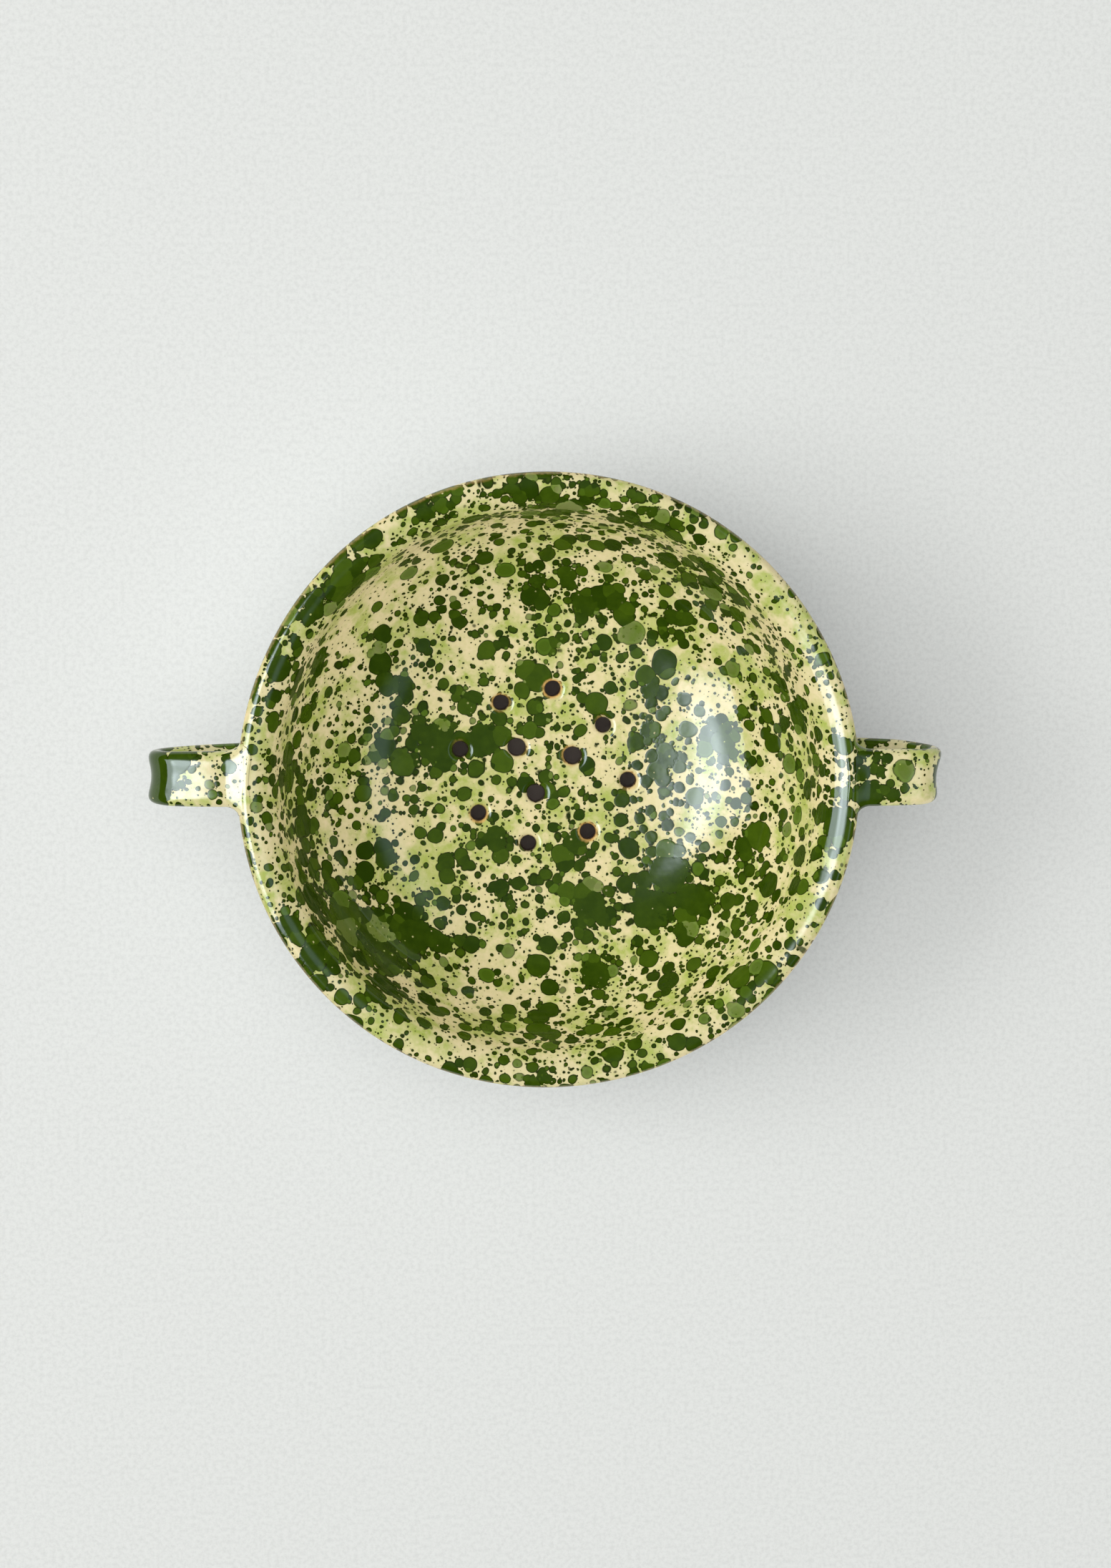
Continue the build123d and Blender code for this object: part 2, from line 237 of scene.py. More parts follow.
# The room that the gloss mirrors: the window's direction and the one beside it, and smooth steps over the
# window's edges. Ovals have a centre, half their length, half their breadth and a softness
WINDOW_SIDE, WINDOW_BESIDE = (-0.966, -0.259, 0.0), (0.259, -0.966, 0.0)
PANE_LOW, PANE_HIGH, PANE_SIDES = (0.835, 0.85, 1.0, 0.0), (0.40, 0.56), (0.26, 0.36, 1.0, 0.0)
LAMP_OVAL, HAZE_OVAL, SKY_OVAL = (0.39, 0.21, 0.21, 0.45), (0.33, 0.17, 0.26, 0.8), (0.46, 0.15, 0.40, 0.5)
HAZE_SHARE = 0.14  # brightness of the haze round the lamp, as a share of the lamp's
CEILING_UP, CEILING_BACK = (0.55, 0.88), (-0.65, -0.15)  # where the lighter ceiling starts and is whole
ROOM_LEAST = 0.03  # brightness of the room where nothing else is
WHITE, COOL, SKY_BLUE, ROOM_BLUE = (1, 1, 1, 1), (0.82, 0.93, 1, 1), (0.62, 0.82, 1, 1), (0.8, 0.97, 1, 1)

# Lamps, with lengths in metres
LAMP_TARGET = (0, 0, 0.03)
WINDOW_PLACE, WINDOW_SIZE, WINDOW_TINT = (-2.1, 0.25, 1.7), (1.75, 0.85), (1.0, 1.0, 0.99)
FILL_SIZE, FILL_TINT = (1.6, 1.6), (1.0, 1.0, 1.0)
# The fills, with their place and their share of the power
FILLS = (("fill_front", (1.15, -1.35, 0.95), 1.05), ("fill_back", (-1.1, 1.35, 0.95), 0.75))

# Table and camera
TABLE_HALF = 6.0  # half of its side, in metres
CAMERA_TARGET = (0.00164, 0.00004)  # what the camera looks at, in the plane of the rim
CAMERA_WAY = (-0.0554, 0.1249, 1.0)  # from there to the camera
SENSOR = 36.0  # width in mm


def length(name, description, millimetres):
    """A length property, given in millimetres and kept in metres."""
    return bpy.props.FloatProperty(
        name=name, description=description, default=millimetres * MM, min=0.0, precision=5,
        subtype="DISTANCE", unit="LENGTH",
    )


def angle(name, description, degrees):
    """An angle property, given in degrees and kept in radians."""
    return bpy.props.FloatProperty(
        name=name, description=description, default=math.radians(degrees), subtype="ANGLE", unit="ROTATION",
    )


def colour(name, description, red, green, blue):
    """A colour property, given as 0 to 255 as it looks on a screen and kept linear."""
    shares = [value / 255 for value in (red, green, blue)]
    linear = [s / 12.92 if s <= 0.04045 else ((s + 0.055) / 1.055) ** 2.4 for s in shares]
    return bpy.props.FloatVectorProperty(
        name=name, description=description, default=linear, size=3, min=0.0, max=1.0, subtype="COLOR",
    )


def amount(name, description, default):
    """A plain number property."""
    return bpy.props.FloatProperty(name=name, description=description, default=default, min=0.0)


class BowlSizes(bpy.types.PropertyGroup):
    """Sizes of the thrown bowl."""

    rim: length("Rim diameter", "Across the outside of the lip", (BOWL_BOX[1].x - BOWL_BOX[0].x) / MM)
    height: length("Height", "From the table to the rim's crest", CAD_BOX[1].z / MM)
    wall: length("Wall", "Thickness of the wall and the lip", 5.5)
    floor: length("Floor", "Thickness of the floor at its middle", 6.0)
    foot_height: length("Foot height", "From the table to the middle of the underside", 7.0)
    wall_slope: angle("Wall slope", "Of the straight part of the wall, from level", 72)
    floor_slope: angle("Floor slope", "Where the dished floor turns into the belly", 8)
    belly_inside: length("Belly inside", "Radius of the belly's inside curve", 40.0)
    belly_outside: length("Belly outside", "Radius of the belly's outside curve", 45.0)
    lip_under: length("Lip hollow", "Radius of the hollow under the lip", 4.0)
    out_of_round: length("Out of round", "Size of the waves that push the rim out of round", 0.22)
    ridges: length("Throwing ridges", "Height of the ridges that the fingers left", 0.028)
    ridge_pitch: length("Ridge pitch", "Distance between throwing ridges", 5.2)


class HoleSizes(bpy.types.PropertyGroup):
    """Sizes of the punched drain holes."""

    outer_ring: length("Outer ring", "Radius of the outer ring of holes", 25.3)
    outer_hole: length("Outer holes", "Diameter of the holes in the outer ring", 4.7)
    outer_turn: angle("Outer turn", "Where the outer ring of holes starts", -10.2)
    inner_ring: length("Inner ring", "Radius of the inner ring of holes", 9.8)
    inner_hole: length("Inner holes", "Diameter of the holes in the inner ring", 5.4)
    inner_turn: angle("Inner turn", "Where the inner ring of holes starts", 19.6)
    rounding: length("Rounding", "Radius of a hole's edge inside the bowl", 1.9)
    under_rounding: length("Rounding underneath", "Radius of a hole's edge underneath", 0.8)


class HandleSizes(bpy.types.PropertyGroup):
    """Sizes of the pulled strap handles and the joints that hold them."""

    reach: length("Reach", "From the rim out to the end of the loop", (CAD_BOX[1].x - BOWL_BOX[1].x) / MM)
    below_rim: length("Below rim", "From the rim's crest down to the strap", 1.5)
    drop: length("Drop", "From the rim's crest down to where the lower limb meets the wall", 27.0)
    strap_width: length("Strap width", "Across the strap", 17.3)
    strap: length("Strap thickness", "Through the strap", 5.0)
    groove: length("Thumb groove", "Depth of the groove along the outer face", 0.9)
    bend: length("End bend", "Radius of the bend at the end of the loop", 6.0)
    turn: angle("End turn", "How far the end bend turns", 142)
    upper_joint: length("Upper joint", "From the rim's edge out to the strap", 3.6)
    lower_joint: length("Lower joint", "From the wall out to the strap", 9.0)
    spread: length("Joint spread", "How far a joint spreads beside the strap", 2.6)


class FootSizes(bpy.types.PropertyGroup):
    """Sizes of the foot ring."""

    diameter: length("Foot diameter", "Across the outside of the foot ring", 90.0)
    width: length("Foot width", "Through the foot ring", 7.5)
    rounding: length("Foot rounding", "Radius of the foot's edges at the table", 1.0)
    seam: length("Slip seam", "How far the slip runs onto foot and bowl", 4.2)


class GlazeColours(bpy.types.PropertyGroup):
    """Colours of the glaze and the clay."""

    cream: colour("Cream", "The ground under the splatter", 208, 193, 156)
    pale: colour("Pale wash", "The thin green wash on the ground", 146, 160, 74)
    sheer: colour("Sheer green", "A drop so thin that the ground shines through", 74, 100, 24)
    leaf: colour("Leaf green", "The thinner, lighter splatter", 58, 79, 8)
    deep: colour("Deep green", "The thick splatter", 33, 52, 1)
    edge: colour("Dot edge", "The dark line where a dot of glaze ends", 26, 36, 0)
    speck: colour("Speck", "The finest brown drops", 60, 48, 8)
    burnt: colour("Burnt edge", "Where the glaze thins over an edge", 200, 160, 96)
    # Painted shade: the bores of the drain holes are coloured dark brown for the shade in them
    bore: colour("Bore", "Inside the drain holes", 52, 36, 30)
    bounce_in: colour("Bounce inside", "What the glaze throws back on itself", 255, 240, 205)
    bounce_out: colour("Bounce outside", "What the glaze throws on the table", 236, 238, 240)
    clay: colour("Clay", "The bare clay of the foot", 196, 158, 116)
    clay_dark: colour("Clay specks", "Grog in the bare clay", 120, 84, 56)


class StageSettings(bpy.types.PropertyGroup):
    """Floor, light and camera."""

    floor: colour("Floor", "The pale table", 222, 224, 221)
    backdrop: colour("Backdrop", "What stands behind the table in a low view", 229, 231, 228)
    window: amount("Window", "Power of the low, soft light at the left", 23.5)
    fill: amount("Fill", "Power of the soft lights at two corners, on the bowl alone", 22.0)
    overhead: amount("Overhead", "Strength of the light round the zenith", 2.53)
    side: amount("Side", "Strength of the low light from the left", 0.75)
    around: amount("Around", "Strength of the even light from all round", 0.30)
    mirrored_window: amount("Mirrored window", "Brightness of the window that the gloss mirrors", 5.6)
    mirrored_lamp: amount("Mirrored lamp", "Brightness of the mirrored lamp above the window", 10.0)
    mirrored_sky: amount("Mirrored sky", "Brightness of the sky at the right that the gloss mirrors", 1.0)
    mirrored_room: amount("Mirrored room", "Brightness of the room overhead that the gloss mirrors", 0.1)
    camera_distance: length("Camera distance", "From the rim's plane to the camera", 1100.0)
    lens: bpy.props.FloatProperty(
        name="Lens", description="Focal length on a 36 mm sensor", default=83.04, min=1.0, unit="CAMERA",
    )


class BerryBowlSettings(bpy.types.PropertyGroup):
    """All that a user would change."""

    bowl: bpy.props.PointerProperty(type=BowlSizes)
    holes: bpy.props.PointerProperty(type=HoleSizes)
    handles: bpy.props.PointerProperty(type=HandleSizes)
    foot: bpy.props.PointerProperty(type=FootSizes)
    glaze: bpy.props.PointerProperty(type=GlazeColours)
    stage: bpy.props.PointerProperty(type=StageSettings)


def settings():
    """The settings of the open scene."""
    return bpy.context.scene.berry_bowl


def arc(centre, radius, start, end, count=PROFILE_POINTS):
    """Points of a circle: centre + radius (cos a, sin a), for angles a from start to end."""
    angles = np.linspace(start, end, count)
    return np.stack([centre[0] + radius * np.cos(angles), centre[1] + radius * np.sin(angles)], axis=1)


def side_profile(bowl, floor_z, belly, top, start_radius):
    """Radius and height along the dished floor, the belly and the straight wall, each tangent to the next.

    With a the floor's last slope and b the wall's, the floor's radius f and the wall's length w close
    f + belly (sin b - sin a) + w cos b = top radius and
    floor_z + f tan(a / 2) + belly (cos a - cos b) + w sin b = top height.
    Returns the points and the radius of the floor's own curve.
    """
    a, b = bowl.floor_slope, bowl.wall_slope
    dish = math.tan(a / 2)
    run = top[0] - belly * (math.sin(b) - math.sin(a))
    rise = top[1] - floor_z - belly * (math.cos(a) - math.cos(b))
    wall = (rise - run * dish) / (math.sin(b) - math.cos(b) * dish)
    floor_radius = run - wall * math.cos(b)
    curve = floor_radius / math.sin(a)
    floor_centre = np.array([0, floor_z + curve])
    belly_centre = floor_centre + np.array([math.sin(a), -math.cos(a)]) * (curve - belly)
    floor_line = arc(floor_centre, curve, math.asin(start_radius / curve) - QUARTER, a - QUARTER)
    belly_line = arc(belly_centre, belly, a - QUARTER, b - QUARTER)
    wall_line = np.linspace(belly_line[-1], top, PROFILE_POINTS)
    return np.concatenate([floor_line, belly_line[1:], wall_line[1:]]), curve


def patch_radius(holes):
    """Radius of the part of the floor that holds the drain holes, with room round the outermost of them."""
    stray = max(out for out, _ in OUTER_STRAY) * MM
    return holes.outer_ring + stray + holes.outer_hole / 2 + holes.rounding + FLOOR_MARGIN


def lengths_along(points):
    """The length along a line at each of its points."""
    return np.concatenate([[0], np.cumsum(np.hypot(*np.diff(points, axis=0).T))])


def bowl_profile(bowl, holes):
    """The bowl's profile from the floor's patch up the inside, over the lip and down to the patch underneath.

    Holds r and z over s, the length along the profile, the normal (nr, nz) and the lengths of some landmarks.
    """
    crest, lip = bowl.rim / 2 - bowl.wall / 2, bowl.lip_under + bowl.wall
    lip_centre = (crest, bowl.height - lip)
    inner_lip = arc(lip_centre, lip, bowl.wall_slope + QUARTER, QUARTER)
    edge = arc((crest, bowl.height - bowl.wall / 2), bowl.wall / 2, QUARTER, -QUARTER)
    outer_lip = arc(lip_centre, bowl.lip_under, QUARTER, bowl.wall_slope + QUARTER)
    start, floor_z = patch_radius(holes), bowl.foot_height + bowl.floor
    inside, floor_curve = side_profile(bowl, floor_z, bowl.belly_inside, inner_lip[0], start)
    outside, under_curve = side_profile(bowl, bowl.foot_height, bowl.belly_outside, outer_lip[-1], start)
    runs = [inside, inner_lip[1:], edge[1:], outer_lip[1:], outside[::-1][1:]]
    points = np.concatenate(runs)
    s = lengths_along(points)
    ends = s[np.cumsum([len(run) for run in runs]) - 1]
    tangent = np.gradient(points, s, axis=0)
    tangent /= np.hypot(*tangent.T)[:, None]
    return SimpleNamespace(
        s=s, r=points[:, 0], z=points[:, 1], nr=-tangent[:, 1], nz=tangent[:, 0],
        lip=ends[0], crest=ends[1], edge=(ends[1] + ends[2]) / 2, under=ends[2], outside=ends[3], end=ends[4],
        floor_curve=floor_curve, under_curve=under_curve, start=start,
    )


def ease(value, low, high):
    """Smooth step from 0 at low to 1 at high: t t (3 - 2 t)."""
    t = np.clip((value - low) / (high - low), 0, 1)
    return t * t * (3 - 2 * t)


def bowl_skin(bowl, profile, s, theta):
    """Points of the bowl's skin at lengths s along the profile and angles theta.

    The profile is turned about Z, lifted along its normal by throwing ridges that climb one pitch a turn and
    by slow waves, and pushed out of round by waves of two, three and five lobes that grow from the floor to
    the rim. The crest dips twice round the rim.
    """
    r, z = np.interp(s, profile.s, profile.r), np.interp(s, profile.s, profile.z)
    nr, nz = np.interp(s, profile.s, profile.nr), np.interp(s, profile.s, profile.nz)
    up = ease(z, *UNEVEN_HEIGHTS)
    wall = up * ease(bowl.height - z, *RIDGE_DEPTHS)
    phase = 2 * np.pi * s / bowl.ridge_pitch + theta
    lift = bowl.ridges * wall * (np.sin(phase) + 0.5 * np.sin(1.7 * phase + 2 * np.sin(theta)))
    lift = lift + SLOW_WAVE * up * (np.sin(4 * theta + 60 * s / bowl.rim) * np.sin(2 * theta + 1.3) - 1)
    lobes = sum(share * np.cos(count * theta + turn) for count, turn, share in LOBES) - LOBE_INSET
    dip = RIM_DIP * up * (np.sin(2 * theta + 0.7) - 1) * ease(z, 0.6 * bowl.height, bowl.height)
    r = r + nr * lift + bowl.out_of_round * up * lobes
    z = z + nz * lift + dip
    return np.stack([r * np.cos(theta), r * np.sin(theta), z], axis=-1)


def hole_places(holes):
    """Centre, radius and phase of each drain hole, ring by ring: even angles and radii, with their stray.

    The phase, which turns the hole's own shape, is three times its angle.
    """
    rows = []
    rings = (
        (holes.outer_ring, holes.outer_turn, holes.outer_hole, OUTER_STRAY),
        (holes.inner_ring, holes.inner_turn, holes.inner_hole, INNER_STRAY),
    )
    for ring, turn, diameter, strays in rings:
        stray = np.array(strays)
        angles = turn + 2 * np.pi * np.arange(len(strays)) / len(strays) + np.radians(stray[:, 1])
        radii = ring + stray[:, 0] * MM
        size = np.full(len(strays), diameter / 2)
        rows.append(np.stack([radii * np.cos(angles), radii * np.sin(angles), size, 3 * angles], axis=1))
    return np.concatenate(rows)


def hole_radius(radius, phase, turn):
    """A punched hole's radius at an angle: a circle pushed a little into an oval and a three-sided shape."""
    return radius * (1 + HOLE_OVAL * np.cos(2 * turn + phase) + HOLE_CORNERS * np.cos(3 * turn - 2 * phase))


def grid_faces(rows, columns, offset=0):
    """Quads of a grid whose columns close on themselves."""
    row, column = np.mgrid[0:rows - 1, 0:columns]
    following = (column + 1) % columns
    corners = [row * columns + column, row * columns + following,
               (row + 1) * columns + following, (row + 1) * columns + column]
    return np.stack(corners, axis=-1).reshape(-1, 4) + offset


def floor_patch(places, rounding, theta, radius, height):
    """A round patch of floor with the holes left open, as triangles.

    Its points are the patch's edge, a ring round each hole and an even triangular lattice between them.
    Triangles whose three corners lie on one hole's ring would cover the hole, and are dropped.
    """
    turn = np.linspace(0, 2 * np.pi, HOLE_AROUND, endpoint=False)
    edge = np.stack([radius * np.cos(theta), radius * np.sin(theta)], axis=1)
    x, y, size, phase = (column[:, None] for column in places.T)
    ring = hole_radius(size, phase, turn) + rounding
    rings = np.stack([x + ring * np.cos(turn), y + ring * np.sin(turn)], axis=-1)
    count = int(radius / FLOOR_STEP) + 2
    i, j = np.mgrid[-count:count + 1, -2 * count:2 * count + 1]
    lattice = np.stack([(j + 0.5 * (i % 2)) * FLOOR_STEP, i * FLOOR_STEP * math.sqrt(3) / 2], axis=-1)
    lattice = lattice.reshape(-1, 2)
    gaps = np.hypot(lattice[:, None, 0] - places[None, :, 0], lattice[:, None, 1] - places[None, :, 1])
    clear = (gaps - places[:, 2] - rounding).min(axis=1) > HOLE_CLEAR * FLOOR_STEP
    lattice = lattice[clear & (np.hypot(*lattice.T) < radius - EDGE_CLEAR * FLOOR_STEP)]
    points = np.concatenate([edge, rings.reshape(-1, 2), lattice])
    owner = np.concatenate([
        np.full(len(edge), -1), np.repeat(np.arange(len(places)), HOLE_AROUND), np.full(len(lattice), -2),
    ])
    loops = [(0, len(edge))]
    loops += [(len(edge) + k * HOLE_AROUND, HOLE_AROUND) for k in range(len(places))]
    links = [np.stack([first + np.arange(n), first + (np.arange(n) + 1) % n], axis=1) for first, n in loops]
    corners = [Vector(point) for point in points.tolist()]
    made = delaunay_2d_cdt(corners, np.concatenate(links).tolist(), [], 0, SAME_POINT)
    flat = np.array([tuple(v) for v in made[0]])
    owner = owner[[source[0] for source in made[3]]]
    triangles = np.array(made[2])
    first, second, third = owner[triangles].T
    covers = (first >= 0) & (first == second) & (second == third)
    return np.column_stack([flat, height(np.hypot(*flat.T))]), triangles[~covers]


def hole_sleeves(holes, places, top, bottom):
    """The walls of all drain holes: straight bores whose upper and lower edges are quarter circles.

    Round a hole at angle t, an edge of rounding q leaves the floor at the hole's radius plus q and turns down
    through v: its radius is the hole's plus q (1 - sin v), and it lies q (1 - cos v) under the floor.
    """
    turn = np.linspace(0, 2 * np.pi, HOLE_AROUND, endpoint=False)[None, None, :]
    x, y, size, phase = (column[:, None, None] for column in places.T)
    bore = hole_radius(size, phase, turn)
    bend = np.linspace(0, QUARTER, HOLE_EDGE_ROWS)[None, :, None]

    def edge(rounding, height, side):
        """Radius and height of the edge above (side 1) or below (side -1)."""
        mouth = bore + rounding
        level = height(np.hypot(x + mouth * np.cos(turn), y + mouth * np.sin(turn)))
        return bore + rounding * (1 - np.sin(bend)), level - side * rounding * (1 - np.cos(bend))

    upper_r, upper_z = edge(holes.rounding, top, 1)
    lower_r, lower_z = edge(holes.under_rounding, bottom, -1)
    pairs = ((upper_r, lower_r), (upper_z, lower_z))
    r, z = (np.concatenate([high, low[:, ::-1]], axis=1) for high, low in pairs)
    points = np.stack([x + r * np.cos(turn), y + r * np.sin(turn), z], axis=-1)
    rows = points.shape[1]
    faces = [grid_faces(rows, HOLE_AROUND, k * rows * HOLE_AROUND) for k in range(len(places))]
    return points.reshape(-1, 3), np.concatenate(faces)


def build_object(name, parts, material, merge=0.0):
    """One smooth object from parts, each an array of points and a list of arrays of faces that index them.

    Where merge is above 0, points nearer than that become one. The faces are turned to point outwards.
    """
    points, faces, start = [], [], 0
    for part_points, part_faces in parts:
        points.append(part_points)
        faces += [corners for group in part_faces for corners in (group + start).tolist()]
        start += len(part_points)
    mesh = bpy.data.meshes.new(name)
    mesh.from_pydata(np.concatenate(points).tolist(), [], faces)
    shape = bmesh.new()
    shape.from_mesh(mesh)
    if merge:
        bmesh.ops.remove_doubles(shape, verts=shape.verts, dist=merge)
    bmesh.ops.recalc_face_normals(shape, faces=shape.faces)
    shape.to_mesh(mesh)
    shape.free()
    mesh.shade_smooth()
    mesh.materials.append(material)
    made = bpy.data.objects.new(name, mesh)
    bpy.context.scene.collection.objects.link(made)
    return made


def vertex_places(made):
    """The places of an object's vertices as an array."""
    places = np.empty(len(made.data.vertices) * 3, np.float32)
    made.data.vertices.foreach_get("co", places)
    return places.reshape(-1, 3).astype(float)


def paint(made, name, values):
    """Keeps one number for each vertex, which the glaze reads."""
    attribute = made.data.attributes.new(name, "FLOAT", "POINT")
    attribute.data.foreach_set("value", np.asarray(values, np.float32))


def paint_pools(made, profile):
    """Keeps how deep each vertex lies in the deepest pool, and how much the drops crowd there, in mm.

    With g the distance from a middle, the depth is the pool's radius less g. The crowding is the sum of each
    crowd's growth times 1 - (g / radius)^2, where that is above 0.
    """
    inside = profile.s <= profile.crest
    places = vertex_places(made) / MM

    def gaps(spots):
        """Distances of all vertices from the inner skin at each spot."""
        height = np.interp(np.hypot(spots[:, 0], spots[:, 1]) * MM, profile.r[inside], profile.z[inside]) / MM
        middles = np.column_stack([spots[:, :2], height])
        return np.linalg.norm(places[:, None, :] - middles[None, :, :], axis=2)

    pools, crowds, straps = (np.array(table, float) for table in (BOWL_POOLS, CROWDS, STRAP_POOLS))
    strap_gaps = np.linalg.norm(places[:, None, :] - straps[None, :, :3], axis=2)
    depth = np.concatenate([pools[:, 2] - gaps(pools), straps[:, 3] - strap_gaps], axis=1)
    paint(made, "pool", np.maximum(depth.max(axis=1), POOL_FAR))
    share = np.maximum(1 - (gaps(crowds) / crowds[:, 2]) ** 2, 0)
    paint(made, "crowd", share @ crowds[:, 3])


def dress(made, slot, *nodes):
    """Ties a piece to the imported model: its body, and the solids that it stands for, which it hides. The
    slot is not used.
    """
    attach(made, "root")
    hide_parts(*nodes)


def dished(level, curve):
    """The height of a dish at a radius r: its level in the middle, plus curve - sqrt(curve^2 - r^2)."""
    def height(r):
        return level + curve - np.sqrt(curve ** 2 - r ** 2)

    return height


def bowl_parts(bowl, holes):
    """The thrown bowl: the turned skin, the holed floor above and below, and the bores between them."""
    profile = bowl_profile(bowl, holes)
    theta = np.linspace(0, 2 * np.pi, AROUND, endpoint=False)
    marks = (0, profile.lip, profile.under, profile.outside, profile.end)
    spans = [
        np.linspace(low, high, rows, endpoint=high == profile.end)
        for low, high, rows in zip(marks, marks[1:], SKIN_ROWS)
    ]
    s = np.concatenate(spans)
    skin = bowl_skin(bowl, profile, s[:, None], theta[None, :])
    places = hole_places(holes)
    floor = dished(bowl.foot_height + bowl.floor, profile.floor_curve)
    underside = dished(bowl.foot_height, profile.under_curve)
    upper, upper_faces = floor_patch(places, holes.rounding, theta, profile.start, floor)
    lower, lower_faces = floor_patch(places, holes.under_rounding, theta, profile.start, underside)
    sleeves, sleeve_faces = hole_sleeves(holes, places, floor, underside)
    parts = [
        (skin.reshape(-1, 3), [grid_faces(len(s), AROUND)]),
        (upper, [upper_faces]),
        (lower, [lower_faces[:, ::-1]]),
        (sleeves, [sleeve_faces]),
    ]
    return parts, places


def strap_path(bowl, handles, profile, hand):
    """Middle line of the right strap in the plane of X and Z, its direction and the share of its run.

    A level limb from the rim, a bend of one radius, then one arc, tangent to the bend, that sags to the wall.
    """
    level = bowl.height - handles.below_rim - handles.strap / 2
    end = bowl.rim / 2 + handles.reach - handles.strap / 2 - hand.short
    bend_centre = np.array([end - handles.bend, level - handles.bend])
    limb = np.linspace([bowl.rim / 2 + handles.upper_joint, level], [bend_centre[0], level], LIMB_POINTS)
    bend = arc(bend_centre, handles.bend, QUARTER, QUARTER - handles.turn, BEND_POINTS)
    outside = profile.s > profile.outside
    wall_z = bowl.height - handles.drop
    wall = np.array([np.interp(-wall_z, -profile.z[outside], profile.r[outside]), wall_z])
    heading = np.array([math.cos(handles.turn), -math.sin(handles.turn)])
    side = np.array([heading[1], -heading[0]])
    chord = wall - bend[-1]
    radius = chord @ chord / (2 * chord @ side)
    centre = bend[-1] + side * radius
    first = math.atan2(*(bend[-1] - centre)[::-1])
    last = math.atan2(*(wall - centre)[::-1])
    lower = arc(centre, abs(radius), first, last, LOWER_POINTS)
    points = np.concatenate([limb, bend[1:], lower[1:]])
    s = lengths_along(points)
    kept = np.linspace(0, s[-1] - handles.lower_joint, STRAP_ROWS)
    line = np.stack([np.interp(kept, s, points[:, k]) for k in (0, 1)], axis=1)
    heading = np.gradient(line, kept, axis=0)
    return line, heading / np.hypot(*heading.T)[:, None], kept / kept[-1]


def strap_outline(handles, groove_share):
    """Half-widths u from -1 to 1 and heights n of a strap's outline, evenly spaced along it, once round.

    Round the angle t, u is |cos t|^(1/3) with its sign. The inner face is half the thickness times sin t. The
    outer face is that less the groove times (1 - u u)^2, scaled so that its two ridges keep the thickness.
    """
    t = np.linspace(0, 2 * np.pi, OUTLINE_POINTS)
    u = np.sign(np.cos(t)) * np.abs(np.cos(t)) ** STRAP_POWER
    n = np.sin(t) - groove_share * handles.groove / (handles.strap / 2) * (1 - u * u) ** 2 * (np.sin(t) > 0)
    n = np.where(n > 0, n / n.max(), n) * handles.strap / 2
    run = lengths_along(np.stack([u * handles.strap_width / 2, n], axis=1))
    even = np.linspace(0, run[-1], HANDLE_AROUND, endpoint=False)
    return np.interp(even, run, u), np.interp(even, run, n)


def strap_rows(handles, hand, line, heading, share):
    """Points of the strap: its outline carried along the middle line.

    Towards the end of the loop the groove is deepest and the strap narrowest. The hand gives each strap its
    own width, shift along Y, skew of the lower limb along Y, droop, which grows with the square of the
    distance past the rim, and lean, which sets one ridge of the end back from the other.
    """
    end = np.exp(-((share - LOOP_END) / LOOP_SPREAD) ** 2)[:, None]
    shallow, deep = strap_outline(handles, LIMB_GROOVE), strap_outline(handles, END_GROOVE)
    u, n = (low + end * (high - low) for low, high in zip(shallow, deep))
    wave = np.sin(5 * share + 9 * hand.width)[:, None]
    width = handles.strap_width / 2 * hand.width * (1 - END_WAIST * end + WIDTH_WAVE * wave)
    y = hand.shift + hand.skew * ease(share, *SKEW_SPAN)[:, None] + width * u
    n = n - end * abs(hand.lean) * (1 - np.sign(hand.lean) * u) / 2
    normal = np.stack([-heading[:, 1], heading[:, 0]], axis=1)
    flat = line[:, None, :] + n[..., None] * normal[:, None, :]
    past = np.maximum(flat[..., 0] - line[0, 0], 0) / (line[:, 0].max() - line[0, 0])
    return np.stack([flat[..., 0], y, flat[..., 1] - hand.droop * past**2], axis=-1)


def joint_rows(bowl, profile, ring, into, foot_s, foot_y, reach):
    """Points of the slip that spreads from a strap's end ring onto the bowl.

    Each column is a Hermite curve: it leaves the strap along its direction and lands on the bowl's skin along
    the skin, away from the middle of the joint. It then dives under the skin and closes in the middle.
    """
    middle, across = foot_s.mean(), foot_y.mean()

    def on_skin(grow):
        """The joint's foot on the skin, grown or shrunk about its middle."""
        s, y = middle + (foot_s - middle) * grow, across + (foot_y - across) * grow
        r = np.interp(s, profile.s, profile.r)
        return bowl_skin(bowl, profile, s, np.arcsin(y / r))

    landing = on_skin(1.0)
    outwards = on_skin(SKIN_AHEAD) - landing
    outwards /= np.linalg.norm(outwards, axis=1)[:, None]
    t = np.linspace(0, 1, JOINT_ROWS + 1)[1:, None, None]
    leave, arrive = into[None, None, :] * reach * LEAVE_PULL, outwards[None] * reach * ARRIVE_PULL
    curve = ((2 * t**3 - 3 * t**2 + 1) * ring[None] + (t**3 - 2 * t**2 + t) * leave
             + (3 * t**2 - 2 * t**3) * landing[None] + (t**3 - t**2) * arrive)
    under = on_skin(TUCK_SHARE) + into * TUCK_DEPTH
    centre = on_skin(0.0).mean(axis=0) + into * POLE_DEPTH
    return np.concatenate([curve, under[None]]), centre


